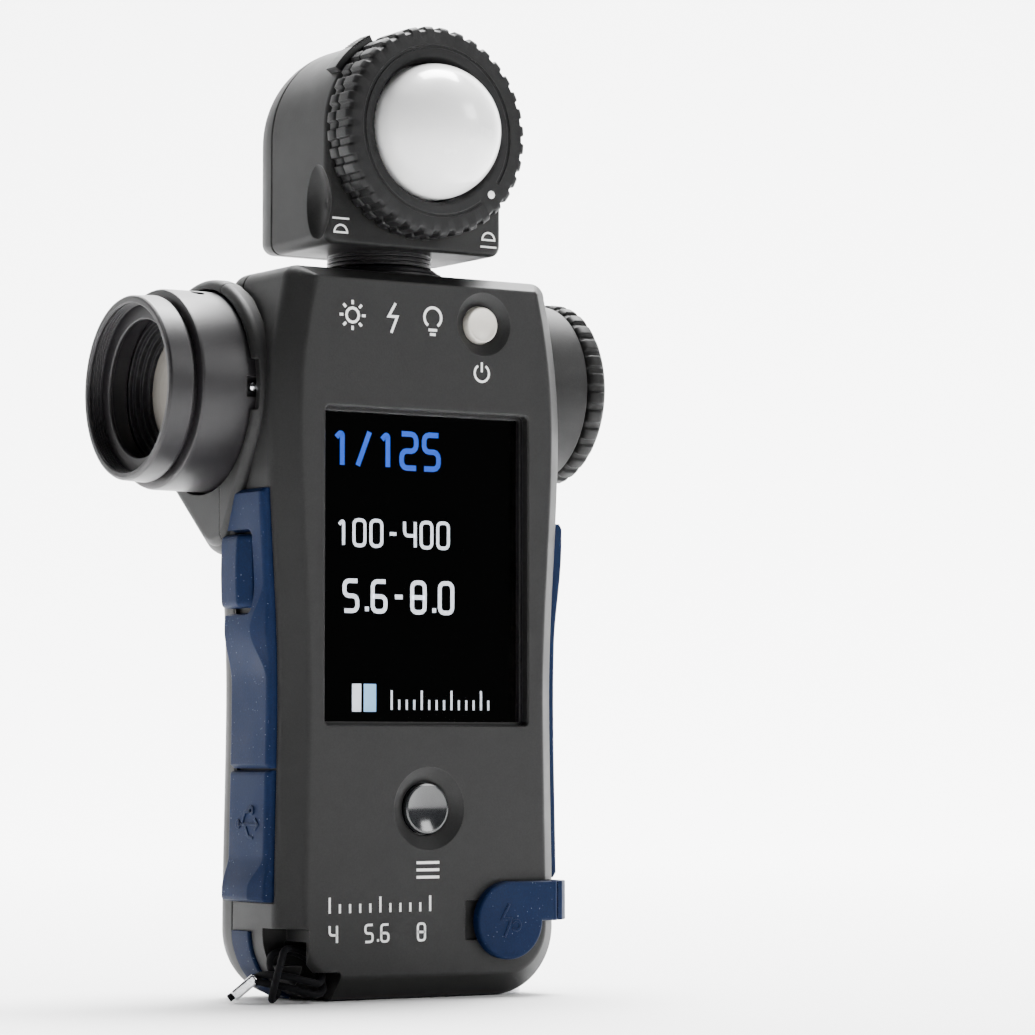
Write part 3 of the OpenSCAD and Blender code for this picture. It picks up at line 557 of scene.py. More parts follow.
def half_w(z):
    """Half-width of the body at a height."""
    if z < WAIST_Z:
        return mix(BASE_W, WAIST_W, smoothstep((z - CORNER_R) / (WAIST_Z - CORNER_R)))
    if z < SHOULDER_Z:
        return mix(WAIST_W, SHOULDER_W, smoothstep((z - WAIST_Z) / (SHOULDER_Z - WAIST_Z)))
    return mix(SHOULDER_W, TOP_W, ((z - SHOULDER_Z) / (CASE_H - SHOULDER_Z)) ** 2)


def body_outline(i):
    """The body's outline in X and Z, anticlockwise from the base, moved in by i."""
    r = max(TOP_R - 0.6 * i, 0.8)
    z = CASE_H - TOP_SHARE * i - r
    x = half_w(z) - i - r
    side = arc((BASE_W - CORNER_R, CORNER_R), CORNER_R - i, -90, -3, 3)
    side += [(half_w(h) - i, h) for h in [mix(CORNER_R, z, k / 57) for k in range(57)]]
    side += arc((x, z), r, 0, 90, 10)
    return side + [(-x, z) for x, z in reversed(side)]


def head_outline(i):
    """The head's outline in X and Z, moved in by i."""
    r, z = 2, HEAD_Z + i / 2
    side = arc((HEAD_W - i - r, z + r), r, -90, 0, 15) + arc((0, RING_Z), HEAD_W - i, 0, 88, 4)
    return side + [(-x, z) for x, z in reversed(side)]


def case_loops(outline, path):
    """Loops of a shell whose path is (depth, inset) pairs."""
    return [[(x, y, z) for x, z in outline(i)] for y, i in path]


def teardrop(big, small):
    """Outline round the finder axis and the smaller round below it, in Y and Z."""
    a, b = Vector((AXIS_Y, LENS_Z)), HOUSING_FOOT
    way = b - a
    toward = math.degrees(math.atan2(way.y, way.x))
    spread = math.degrees(math.acos((big - small) / way.length))
    upper = arc(a, big, toward + spread, toward + 360 - spread, 4)
    return upper + arc(b, small, toward - spread, toward + spread, 6)


def rod_x(radius, x0, x1, z=LENS_Z, y=AXIS_Y, steps=96):
    """A round cutter along X."""
    return rod("x", radius, x0, x1, (y, z), steps)


def rod_y(at, radius, y0, y1):
    """A round cutter along Y."""
    return rod("y", radius, y0, y1, at)


def finder_cutters():
    """What is hollowed out of both shells round the finder and the neck."""
    return [
        rod_x(18, -27, 27), rod_x(BARREL_R + 0.5, -40, -29), rod_x(14.55, -30, -26),
        rod_x(EYE_R + 0.15, 29, 40, EYE_Z), rod_x(12.65, 26, 30, EYE_Z),
        rod("z", 8.05, CASE_H - 8, CASE_H + 2.5, (0, NECK_Y)),
    ]


def pad_outline(side, z0, z1):
    """Seat of a side pad in X and Z, from inside the body's side out past it."""
    heights = [mix(z0, z1, k / 40) for k in range(41)]
    inner = [(side * (half_w(z) - LET_IN), z) for z in heights]
    outer = [(side * (half_w(z) + 4), z) for z in heights]
    return inner + outer[::-1]


def strap_recess():
    """Channel through the lower left corner: an upper mouth, a lower one, and the room between them."""
    return [box("upper_mouth", (-34, -18, 6.6), (-24.7, -6, 13.2), 0.6),
            box("lower_mouth", (-24.9, -18, -2), (-18.2, -6.05, 5.4), 0.6),
            box("channel", (-25.2, -12.9, -1.5), (-18.3, -5.9, 10.8), 0.3)]


def solid_front():
    corners = [(PART_Y, 0.3), (PART_Y - 0.3, 0), (FRONT_Y + BEVEL_D, 0), (FRONT_Y, BEVEL_W),
               (FRONT_Y, BEVEL_W + 1.2)]
    path = rounded(corners, [0, 0.2, 2.6, 1.7, 0])
    return loft("front_shell", case_loops(body_outline, path))


def hollow_front():
    path = [(PART_Y + 1, WALL), (FRONT_Y + BEVEL_D + 1.2, WALL), (FRONT_Y + WALL, BEVEL_W + 1.3)]
    return loft("hollow", case_loops(body_outline, path))


def dish(at, mouth, bore):
    """Conical recess with a soft lip round a front button."""
    lip, floor, end = FRONT_Y + 0.25, FRONT_Y + 1.35, FRONT_Y + WALL + 1
    profile = [(0, FRONT_Y - 1), (mouth + 0.25, FRONT_Y - 1), (mouth + 0.25, FRONT_Y), (mouth, lip),
               (bore + 0.3, floor), (bore, floor + 0.3), (bore, end), (0, end)]
    return revolve("dish", profile, "y", at, 96)


def screen_mouth():
    """The display opening, with a soft edge at the front."""
    low, high = span("display_window")
    middle = (low + high) / 2
    corners = [(middle.x + sx * SCREEN_W / 2, middle.z + sz * SCREEN_H / 2)
               for sx, sz in ((-1, -1), (1, -1), (1, 1), (-1, 1))]
    rows = [(FRONT_Y - 2, -0.3), (FRONT_Y, -0.3), (FRONT_Y + 0.3, 0), (FRONT_Y + 4, 0)]
    return slab("screen", rounded(corners, 0.9, closed=True), rows)


def grip_seats():
    """Seats for the side pads, the USB cap and the corner guard."""
    depths = [(GRIP_Y0 - 0.12, 0), (GRIP_Y1 + 0.1, 0)]
    guard = arc(GUARD_AT, 14, 180, 250, 3) + arc(GUARD_AT, 11.7, 250, 180, 3)
    return [slab("seat", pad_outline(-1, 17.6, 91.4), depths),
            slab("seat", pad_outline(1, 21.1, 86.9), depths),
            slab("guard_seat", guard, [(-2.1, 0), (GRIP_Y1 + 0.1, 0)])]


def sync_seats():
    """Bore of the sync terminal, the finger notch beside its cap, and the seat of the hinge strap."""
    front = FRONT_Y - 2
    return [rod_y(SYNC_AT, 3.65, front, FRONT_Y + 6),
            box("notch", (7.9, front, 10.4), (SYNC_AT[0], FRONT_Y + 0.9, 17.6), 0.5),
            box("tab_seat", (24.5, front, TAB_Z0), (34, FRONT_Y + 2.2, TAB_Z1)),
            box("wrap_seat", (28.9, front, TAB_Z0), (34, FRONT_Y + 6, TAB_Z1))]


def make_front_case():
    """Front shell: bosses and backings inside, then every opening and seat cut out."""
    shell = carve(solid_front(), [hollow_front()])
    pocket = carve(box("pocket", (-32, -14.6, -1), (-16.6, -4.4, 14.8)), [solid_front()], "INTERSECT")
    boss = carve(rod("z", 6.2, 0, SOCKET_H, SOCKET_AT), [solid_front()], "INTERSECT")
    pegs = [rod_y(at, 2.4, FRONT_Y + BEVEL_D, PART_Y) for at in SCREW_AT]
    backing = box("tab_backing", (20, FRONT_Y + 1.5, TAB_Z0 - 2), (26.6, -9.6, TAB_Z1 + 2))
    shell = carve(shell, [pocket, boss, *pegs, backing], "UNION")
    cutters = [screen_mouth(), dish(POWER_AT, 5.58, 3.55), dish(MENU_AT, 7.24, 4.85)]
    cutters += sync_seats() + strap_recess() + grip_seats()
    cutters += [rod_x(2.1, -34, -25, KEY_LOW.z + KEY_STEM_Z, 0),
                box("port", (-34, -4.8, 24), (-26, -1.2, 32)),
                rod("z", SOCKET_R, -1, SOCKET_H + 3, SOCKET_AT)]
    cutters += finder_cutters()
    return fit(carve(shell, cutters), "charcoal_plastic", nodes=["front_case"])


def make_rear_case():
    """Back shell with the finder's housing across it, and the housing's cheeks on the front half."""
    deep, round_in = 7, 7.6
    curve = [(deep + deep * math.sin(math.radians(a)), round_in * (1 - math.cos(math.radians(a))))
             for a in range(0, 91, 6)]
    skin = loft("back_shell", case_loops(body_outline, [(PART_Y, 0.3), (PART_Y + 0.3, 0)] + curve))
    front = box("front_half", (-FAR, -FAR, -10), (FAR, PART_Y, 200))
    back = box("back_half", (-FAR, PART_Y, -10), (FAR, FAR, 200))
    drum = rim(-31.6, 31, 2.2, 2.2)
    housing = slab("housing", teardrop(HOUSING_R, 8), drum, "x")
    cheeks = slab("housing", teardrop(HOUSING_R, 8), drum, "x")
    shell = carve(skin, [carve(housing, [front])], "UNION")
    inner = [(PART_Y - 1, WALL), (9, WALL + 0.4), (11, WALL + 2.2), (BACK_Y - 1.8, WALL + 4.6)]
    cutters = [loft("hollow", case_loops(body_outline, inner))] + finder_cutters()
    for node in ("battery_door", "module_cover"):
        low, high = span(node)
        cutters.append(box("hatch", (-16.75, BACK_Y - 2.8, low.z - 0.4), (16.75, 20, high.z + 0.25)))
        cutters.append(rod_x(0.7, -18, 18, low.z + 0.9, BACK_Y - 0.9, 24))
    cutters += [rod_y(at, 2.3, 9.2, 20) for at in SCREW_AT]
    fit(carve(shell, cutters), "charcoal_plastic", nodes=["rear_case"])
    cheeks = carve(cheeks, [back, box("inside", (-28.5, -FAR, 0), (28.5, FAR, 200))] + finder_cutters())
    fit(cheeks, "charcoal_plastic").name = "finder_cheeks"


def make_collars():
    """Raised collars where the finder's ends leave the case, parted with the shells."""
    left = slab("barrel_collar", teardrop(20.6, 6.5), rim(-32.7, -29.5, 1.7), "x")
    cut = [rod_x(BARREL_R + 0.55, -40, -28),
           box("part_line", (-40, PART_Y - 0.09, 60), (-20, PART_Y + 0.09, 140)),
           box("step", (-36, -14, LENS_Z - 4.6), (-31.9, AXIS_Y - 18.2, LENS_Z + 4.6), 0.3)]
    fit(carve(left, cut), "charcoal_plastic")
    ring = [(17.1, 29), (19.4, 29), (19.4, 31), (18.8, 31.6), (17.7, 31.6), (17.1, 31)]
    fit(revolve("eyepiece_collar", ring, "x", (AXIS_Y, EYE_Z), 128), "charcoal_plastic")


# ---------- Grips and caps ----------

def bump(z, middle, half):
    return smoothstep(1 - abs(z - middle) / half)


def left_swell(z):
    return 1.3 * bump(z, 66, 9)


def right_swell(z):
    return 1.6 * bump(z, 80, 18)


def lip_swell(z):
    return 1.3 * smoothstep((26 - z) / 6)


def pad(name, side, z0, z1, swell, y0=GRIP_Y0):
    """A rubber pad on a side of the body; its front edge slopes back where it swells."""
    loops, steps = [], 72
    for k in range(steps + 1):
        t = k / steps
        z = mix(z0, z1, t)
        ends = min(z - z0, z1 - z)
        soft = 0.8 - math.sqrt(max(0, 0.64 - (0.8 - min(0.8, ends)) ** 2))
        rise = 1.6 + swell(z) - soft
        back = 0.7 + 2.6 * swell(z)
        section = [(y0, -LET_IN), (y0, 0.6 * rise), (y0 + back, rise), (GRIP_Y1, rise), (GRIP_Y1, -LET_IN)]
        section = rounded(section, [0, 0.7, 1.1, 0.7, 0], parts=5)
        loops.append([(side * (half_w(z) + x), y, z) for y, x in section])
    return loft(name, loops)


def make_grips():
    grip = pad("left_grip_pad", -1, 41.45, 91.3, left_swell)
    y0, y1, z0, z1 = KEY_LOW.y - 0.7, KEY_HIGH.y + 2, KEY_LOW.z - 0.9, KEY_HIGH.z + 0.5
    pocket = rounded([(y0, z0), (y1, z0), (y1, z1), (y0, z1)], [1.6, 0, 0, 1.2], closed=True)
    cut = slab("pocket", pocket, [(-40, -0.5), (-31.4, -0.3), (-30.9, 0), (-25, 0)], "x")
    fit(carve(grip, [rod_x(20.75, -40, -20), cut]), "navy_rubber", nodes=["left_grip"])
    right = pad("right_grip_pad", 1, 21.2, 86.8, right_swell)
    fit(right, "navy_rubber", nodes=["right_grip"])
    guard = arc(GUARD_AT, 13.1, 180, 250, 3) + arc(GUARD_AT, 11.7, 250, 180, 3)
    fit(slab("corner_guard_pad", guard, rim(-2, GRIP_Y1, 0.5, 0.3)), "navy_rubber", nodes=["corner_guard"])


def make_measuring_button():
    """Rocker-like key: a lit side face that slopes back towards the front, soft at its ends."""
    loops, steps = [], 40
    for k in range(steps + 1):
        z = mix(KEY_LOW.z, KEY_HIGH.z, k / steps)
        ends = min(z - KEY_LOW.z, KEY_HIGH.z - z)
        soft = 1.1 - math.sqrt(max(0, 1.21 - (1.1 - min(1.1, ends)) ** 2))
        top = -KEY_LOW.x - 0.75 * soft
        crown = 0.25 * (1 - (2 * k / steps - 1) ** 2)
        section = [(KEY_LOW.y, 30.5), (KEY_LOW.y, top - 1.9), (KEY_LOW.y + 2.6, top + crown - 0.25),
                   (KEY_HIGH.y, top + crown - 0.4), (KEY_HIGH.y, 30.5)]
        section = rounded(section, [0, 0.3, 1.0, 0.4, 0], parts=5)
        loops.append([(-x, y, z) for y, x in section])
    key = loft("measuring_key", loops)
    stem = rod_x(2, -30.6, -26.5, KEY_LOW.z + KEY_STEM_Z, 0, 48)
    fit(carve(key, [stem], "UNION"), "navy_rubber", "measuring_button", ["measuring_button"])


def ribbon(name, line, width, plane, level, height, closed=False):
    """A flat stroke along a line of 2-D points; plane says how they lie, level is where it starts."""
    p = [Vector(v) for v in line]
    n = len(p)
    left, right = [], []
    for k in range(n):
        before = p[k] - p[k - 1] if k or closed else p[1] - p[0]
        after = p[(k + 1) % n] - p[k] if k < n - 1 or closed else before
        sides = [Vector((-e.y, e.x)).normalized() for e in (before, after)]
        middle = (sides[0] + sides[1]).normalized()
        reach = width / 2 / max(0.5, middle.dot(sides[0]))
        left.append(p[k] + middle * reach)
        right.append(p[k] - middle * reach)
    loops = []
    for a, b in zip(left, right):
        loops.append([plane(a.x, a.y, level), plane(b.x, b.y, level),
                      plane(b.x, b.y, level + height), plane(a.x, a.y, level + height)])
    return loft(name, loops, ring=closed)


def join(name, objs):
    """Several objects as one mesh."""
    work = bmesh.new()
    for obj in objs:
        work.from_mesh(obj.data)
        bpy.data.objects.remove(obj)
    mesh = bpy.data.meshes.new(name)
    work.to_mesh(mesh)
    work.free()
    joined = bpy.data.objects.new(name, mesh)
    bpy.context.collection.objects.link(joined)
    return joined


def strokes(name, lines, width, plane, level, height):
    """Several strokes as one object; each line is (points, closed), and their heights differ a little."""
    parts = [ribbon(name, line, width, plane, level, height * (1 + 0.06 * k), closed)
             for k, (line, closed) in enumerate(lines)]
    return join(name, parts)


def on_front(x, z, y):
    return (x, y, z)


BOLT = [(0.5, 3), (-1.1, 0.3), (0.9, 0.3), (-0.5, -3)]


def make_sync_cap():
    """Round cap with a tab, a knuckle and a raised mark."""
    y0, y1 = span("sync_cap")[0].y, span("sync_cap")[1].y
    x, z = SYNC_AT
    low, high, edge = TAB_Z0 + 0.1, TAB_Z1 - 0.1, x + SYNC_R
    outline = arc(SYNC_AT, SYNC_R, 90, 357, 4) + [(edge, low), (HINGE_X, low), (HINGE_X, high)]
    disc = slab("sync_cap_disc", outline, rim(y0, y1, 0.55, 0.1))
    knuckle = rod("z", (y1 - y0) / 2, low, high, (HINGE_X, (y0 + y1) / 2), 32)
    bolt = [(x + u - 0.9, z + v) for u, v in BOLT]
    ring = arc((x + 1.1, z - 0.9), 0.9, -150, 150, 15)
    mark = strokes("sync_mark", [(bolt, False), (ring, False)], 0.5, on_front, y0 - 0.12, 0.3)
    fit(carve(disc, [knuckle], "UNION"), "navy_rubber", "sync_cap", ["sync_cap"])
    fit(mark, "navy_rubber", "sync_cap")


def make_sync_strap():
    """Strap that runs from the sync cap's hinge round the bevel to the right side."""
    y0 = span("sync_cap")[0].y
    start, end = HINGE_X + 1.12, -2
    outer = rounded([(start, y0 + 0.6), (28.3, y0 + 0.6), (31, -12.4), (31, end)], [0, 0.5, 2, 0])
    inner = rounded([(start, y0 + 1.75), (27.8, y0 + 1.75), (29.7, -11.8), (29.7, end)], [0, 0.6, 1, 0])
    strap = slab("sync_hinge_strap", outer + inner[::-1], rim(TAB_Z0 + 0.1, TAB_Z1 - 0.1, 0.25, 0.25), "z")
    fit(strap, "navy_rubber", nodes=["sync_strap"])


def make_usb_cap():
    """Cap over the data port, with a flared lower lip and a raised three-way mark."""
    cap = pad("usb_cap_pad", -1, 17.8, 41.1, lip_swell, GRIP_Y0 + 0.15)
    fit(cap, "navy_rubber", "usb_cap", ["usb_cap"])
    y, z = (GRIP_Y0 + GRIP_Y1) / 2 - 0.3, 31.5
    icon = [([(-3.6, 0), (3.6, 0)], False), ([(2.6, 1), (3.7, 0), (2.6, -1)], False),
            ([(-2, 0), (-0.8, 2.2), (1, 2.4)], False), ([(-0.9, 0), (0.4, -2.2), (2, -2.4)], False),
            (arc((-3.4, 0), 0.6, 0, 330, 30), True), (arc((1.4, 2.5), 0.6, 0, 330, 30), True)]
    face = -(WAIST_W + 0.42 + 1.6)
    lines = [([(y - u, z + v) for u, v in line], closed) for line, closed in icon]
    mark = strokes("usb_mark", lines, 0.5, lambda u, v, x: (x, u, v), face - 0.12, 0.3)
    fit(mark, "navy_rubber", "usb_cap")


# ---------- Head ----------

RING_LOW, RING_HIGH = span("retract_ring")
RING_Z = (RING_LOW.z + RING_HIGH.z) / 2
RING_R = (RING_HIGH.z - RING_LOW.z) / 2
HEAD_LOW, HEAD_HIGH = span("head_rear")
HEAD_Z, HEAD_PART = HEAD_LOW.z, HEAD_LOW.y
HEAD_W = HEAD_HIGH.x
HEAD_Y0 = -9.3
HEAD_SCREWS = [(x, HEAD_Z + 4.6) for x in (-13.5, 13.5)]
BOSS_R, BORE_R, BOSS_Y = 16, 14.6, -14.2
NECK_Y, SHAFT_R = 3.5, 6
DOT_ANGLE, DOT_R = math.radians(-43), 15.8


def make_head():
    """Head shells: a soft-edged front with a thumb scoop, and a domed back."""
    bevel = rounded([(HEAD_PART, 0.3), (HEAD_PART - 0.3, 0), (HEAD_Y0, 0), (HEAD_Y0, 3)], [0, 0.2, 1.3, 0])
    front = loft("head_front_shell", case_loops(head_outline, bevel))
    hollow = loft("hollow", case_loops(head_outline, [(HEAD_PART + 1, 1.8), (HEAD_Y0 + 1.9, 2.2)]))
    wall = rounded([(BORE_R, BOSS_Y), (BOSS_R, BOSS_Y), (BOSS_R, 2.4), (BORE_R, 2.4)], 0.3, closed=True)
    boss = revolve("boss", wall, "y", (0, RING_Z), 144)
    front = carve(carve(front, [hollow, rod_y((0, RING_Z), BORE_R, -16, 3)]), [boss], "UNION")
    scoop = revolve("scoop", arc((0, 0), 4.6, -90, 90, parts=24), "y", (0, 0), 48)
    scoop.data.transform(Matrix.Translation(Vector((-HEAD_W - 2.2, -6.2, 143.6)) * MM)
                         @ Matrix.Diagonal((0.95, 1.0, 1.75, 1)))
    socket = rod("z", SHAFT_R + 0.55, HEAD_Z - 2, HEAD_Z + 4, (0, NECK_Y), 64)
    fit(carve(front, [scoop, socket]), "charcoal_plastic", "head", ["head_front"])
    deep = HEAD_HIGH.y - HEAD_PART
    curve = [(HEAD_PART + deep * math.sin(math.radians(a)), 7.3 * (1 - math.cos(math.radians(a))))
             for a in range(4, 91, 6)]
    curve = [(HEAD_PART, 0.3), (HEAD_PART + 0.3, 0)] + curve
    rear = loft("head_rear_shell", case_loops(head_outline, curve))
    inner = [(HEAD_PART - 1, 1.8), (14, 2.3), (16.6, 3.8), (18.8, 7.3)]
    hollow = loft("hollow", case_loops(head_outline, inner))
    screws = [rod_y(at, 1.7, 17.9, 25) for at in HEAD_SCREWS]
    fit(carve(rear, [hollow] + screws), "charcoal_plastic", "head", ["head_rear"])


def scallop(count, depth, share=0.42):
    """Radius lost at an angle on a rim with hollow notches between its lands."""
    def lost(a):
        t = (a / (2 * math.pi) * count + 0.5) % 1
        edge = abs(t - 0.5) / (share / 2)
        return depth * smoothstep((1.25 - edge) / 0.5)
    return lost


def make_ring():
    """Knurled ring that retracts the dome, with two rows of notches and a grooved face."""
    y0, y1 = RING_LOW.y, RING_HIGH.y
    lost = scallop(36, 0.62)
    knurl = RING_R - 0.9

    def shape(r, s, a):
        if r > knurl:
            r = max(knurl - 0.1, r - lost(a))
        gap = abs((a - DOT_ANGLE + math.pi) % (2 * math.pi) - math.pi)
        if 15.1 < r < 15.8 and s > y0 + 0.1:
            s = mix(y0, s, smoothstep((gap - 0.16) / 0.03))
        return r, s

    row = RING_R
    groove, face_in, bore = (15.74, 15.2), 13.6, 12.75
    profile = [
        (16.1, y1), (row - 0.5, y1), (row - 0.15, y1 - 0.1), (row, y1 - 0.4), (row, y1 - 2.3),
        (row - 0.2, y1 - 2.6), (knurl - 0.35, y1 - 2.75), (knurl - 0.35, y1 - 3.0), (row - 0.2, y1 - 3.15),
        (row, y1 - 3.4), (row, y0 + 1.0), (row - 0.15, y0 + 0.6), (row - 0.6, y0 + 0.15), (knurl - 0.3, y0),
        (groove[0] + 0.04, y0), (groove[0], y0 + 0.3), (groove[1], y0 + 0.3), (groove[1] - 0.04, y0),
        (face_in + 0.1, y0), (face_in - 0.1, y0 + 0.08), (bore + 0.2, y0 + 1.1), (bore, y0 + 1.6),
        (bore, y0 + 2.5), (16.1, y0 + 2.5)]
    ring = revolve("retract_ring_body", profile, "y", (0, RING_Z), 720, shape)
    fit(ring, "ring_plastic", "retract_ring", ["retract_ring"], sharp=50)
    at = (DOT_R * math.cos(DOT_ANGLE), RING_Z + DOT_R * math.sin(DOT_ANGLE))
    dot = [(0, y0 - 0.04), (0.62, y0 - 0.04), (0.74, y0), (0.74, y0 + 0.3), (0, y0 + 0.3)]
    fit(revolve("white_dot", dot, "y", at, 48), "white_paint", "retract_ring", ["index_dot"])


def make_dome():
    """Opal dome with a straight skirt."""
    low, high = span("dome")
    radius, wall, skirt = 12.4, 1.2, high.y
    centre = low.y + radius
    outer = [(r, y) for y, r in arc((centre, 0), radius, 180, 90, 3)]
    inner = [(r, y) for y, r in arc((centre, 0), radius - wall, 90, 180, 3)]
    profile = outer + [(radius, skirt), (radius - wall, skirt)] + inner
    fit(revolve("dome_shell", profile, "y", (0, RING_Z), 160), "white_plastic", "dome", ["dome"])


def make_neck():
    """Flange and turning post, ribbed where they show between body and head."""
    low, bore = CASE_H - 3.2, SHAFT_R + 0.06
    flange = [(bore, low), (8, low), (8, 131.4), (12, 131.4), (12, 132), (11.6, 132.4), (11, 132.4),
              (10.8, 132.9), (10.2, 133.3), (bore, 133.3)]
    fit(revolve("neck_flange_ring", flange, "z", (0, NECK_Y), 128), "black_metal", nodes=["neck_flange"])
    ribs = []
    for k in range(3):
        z = 133.6 + 0.8 * k
        ribs += [(9.7, z + 0.1), (9.7, z + 0.5), (9.2, z + 0.6), (9.2, z + 0.75)]
    post = [(3.5, 126.1), (SHAFT_R, 126.1), (SHAFT_R, 133.6), (9.5, 133.6)] + ribs
    post += [(9.5, HEAD_Z), (6.5, HEAD_Z), (6.5, HEAD_Z + 3), (3.5, HEAD_Z + 3)]
    fit(revolve("neck_post_ring", post, "z", (0, NECK_Y), 128), "black_metal", "head", ["neck_post"])


# ---------- Finder ----------

def make_barrel():
    """Objective barrel with set screws, a notch at its root, and a screw in that notch."""
    profile = [(14.55, -29), (17.7, -29), (18.2, -30.6), (18.3, -31.2), (18.25, -41.6), (18.05, -42.2),
               (17.6, -42.4), (16.2, -42.4), (16.05, -42.25), (16.05, -40.9), (14.55, -40.9)]
    barrel = revolve("barrel", profile, "x", (AXIS_Y, LENS_Z), 160)
    cutters = [box("notch", (-33.4, AXIS_Y - 20, LENS_Z - 2.2), (-30.6, AXIS_Y - 17.1, LENS_Z + 1.4))]
    for turn in (5, 175):
        bore = [(0, 12), (1.3, 12), (1.3, 17.9), (1.6, 18.25), (1.6, 22), (0, 22)]
        hole = revolve("hole", bore, "z", (0, -4), 40)
        hole.data.transform(Matrix.Translation(Vector((-36.6, AXIS_Y, LENS_Z)) * MM)
                            @ Matrix.Rotation(math.radians(turn), 4, "X"))
        cutters.append(hole)
    fit(carve(barrel, cutters), "black_metal", nodes=["objective_barrel"])
    pin = [(0, -32.9), (0.5, -32.85), (0.85, -32.5), (0.9, -32.1), (0.9, -30.8), (0, -30.8)]
    pin = revolve("root_screw", pin, "x", (AXIS_Y - 17.9, LENS_Z - 0.4), 40)
    fit(pin, "polished_steel")


def make_front_ring():
    """Front ring with the teeth of its accessory thread."""
    rim_x, r0 = span("filter_ring")[0].x, 15.25
    teeth = []
    for k in range(5):
        x = rim_x + 0.75 + 0.5 * k
        teeth += [(r0, x), (r0 + 0.3, x + 0.12), (r0 + 0.3, x + 0.25), (r0, x + 0.38)]
    profile = [(r0, rim_x + 0.35), (r0 + 0.25, rim_x + 0.05), (16.2, rim_x), (16.55, rim_x + 0.15),
               (16.75, rim_x + 0.5), (16.95, rim_x + 4.3), (16.8, rim_x + 4.75), (16.4, -43.2), (16, -43.1),
               (16, -41), (13.4, -41), (13.4, -44.1), (12.75, -44.2), (12.55, -44.35), (12.55, -44.9),
               (12.75, -45.05), (r0 + 0.1, -45.05)]
    ring = revolve("front_ring", profile + teeth[::-1], "x", (AXIS_Y, LENS_Z), 192)
    fit(ring, "black_metal", nodes=["filter_ring"], sharp=25)


def make_eyepiece():
    """Eyepiece housing and the ribbed ring round it."""
    profile = [(12.65, 29), (EYE_R, 29), (EYE_R, 40.9), (EYE_R - 0.15, 41.25), (EYE_R - 0.5, 41.4),
               (14.5, 41.4), (14.5, 44), (12.65, 44)]
    body = revolve("eyepiece_body", profile, "x", (AXIS_Y, EYE_Z), 160)
    fit(body, "charcoal_plastic", nodes=["eyepiece_housing"])
    low, high = span("dioptre_ring")
    r, lost = 17.4, scallop(30, 0.6, 0.36)

    def shape(radius, s, a):
        return (max(radius - lost(a), 16.5) if radius > 16.6 else radius), s

    x0, x1 = low.x, high.x
    profile = [(14.56, x0), (16.3, x0), (16.9, x0 + 0.2), (r, x0 + 0.8), (r, x0 + 2.6), (r - 0.2, x0 + 3.1),
               (16.75, x0 + 3.6), (16.3, x1 - 0.3), (15.8, x1), (13.4, x1), (13, x1 - 0.4), (13, x0 + 2.8),
               (14.56, x0 + 2.6)]
    ring = revolve("dioptre_ring_body", profile, "x", (AXIS_Y, EYE_Z), 600, shape)
    fit(ring, "black_rubber", "dioptre_ring", ["dioptre_ring"], sharp=50)


# ---------- Buttons, screen and marks ----------

def centre_xz(node):
    low, high = span(node)
    return (low.x + high.x) / 2, (low.z + high.z) / 2


POWER_AT, MENU_AT = centre_xz("power_button"), centre_xz("menu_button")


def make_button(node, at, radius, finish, hollow):
    """A front button: a dished cap on a flange and a stem."""
    low, high = span(node)
    y, stem, flange = low.y, 1.5, radius + 0.9
    y0, y1 = FRONT_Y + WALL + 0.3, FRONT_Y + WALL + 1.1
    bowl = [(radius * 0.82 * k / 8, y + 0.12 + hollow * (1 - (k / 8) ** 2)) for k in range(9)]
    profile = bowl + [(radius * 0.9, y), (radius - 0.12, y + 0.1), (radius, y + 0.4), (radius, y0),
                      (flange, y0), (flange, y1), (stem, y1), (stem, high.y), (0, high.y)]
    fit(revolve(f"{node}_cap", profile, "y", at, 96), finish, node, [node])


# Strokes of each sign on a grid one wide and two high: (points, closed)
DIGITS = {
    "0": [([(0, 0), (1, 0), (1, 2), (0, 2)], True)], "1": [([(0.2, 1.6), (0.6, 2), (0.6, 0)], False)],
    "2": [([(0, 2), (1, 2), (1, 1), (0, 1), (0, 0), (1, 0)], False)],
    "4": [([(0, 2), (0, 0.9), (1, 0.9)], False), ([(1, 2), (1, 0)], False)],
    "5": [([(1, 2), (0, 2), (0, 1), (1, 1), (1, 0), (0, 0)], False)],
    "6": [([(1, 2), (0, 2), (0, 0), (1, 0), (1, 1), (0, 1)], False)],
    "8": [([(0, 0), (1, 0), (1, 2), (0, 2)], True), ([(0, 1), (1, 1)], False)],
    "/": [([(0.1, 0), (0.9, 2)], False)], "-": [([(0.2, 1), (0.8, 1)], False)],
    ".": [([(0.2, 0), (0.2, 0.3)], False)],
}


def digit_lines(text, left, base, size):
    """Strokes of a row of digits; size is half a digit's height."""
    lines = []
    for k, sign in enumerate(text):
        x0 = left + k * size * 1.55 - sum(0.9 * size for c in text[:k] if c == ".")
        for line, closed in DIGITS[sign]:
            soft = rounded([(x0 + x * size, base + z * size) for x, z in line], 0.35 * size, closed, 30)
            lines.append((soft, closed))
    return lines


def ticks(x, z, pitch, count, every, long, short):
    """Strokes of a bar scale."""
    return [([(x + pitch * k, z), (x + pitch * k, z + (short if k % every else long))], False)
            for k in range(count)]


def bar(x, z0, z1):
    return [([(x, z0), (x, z1)], False)]


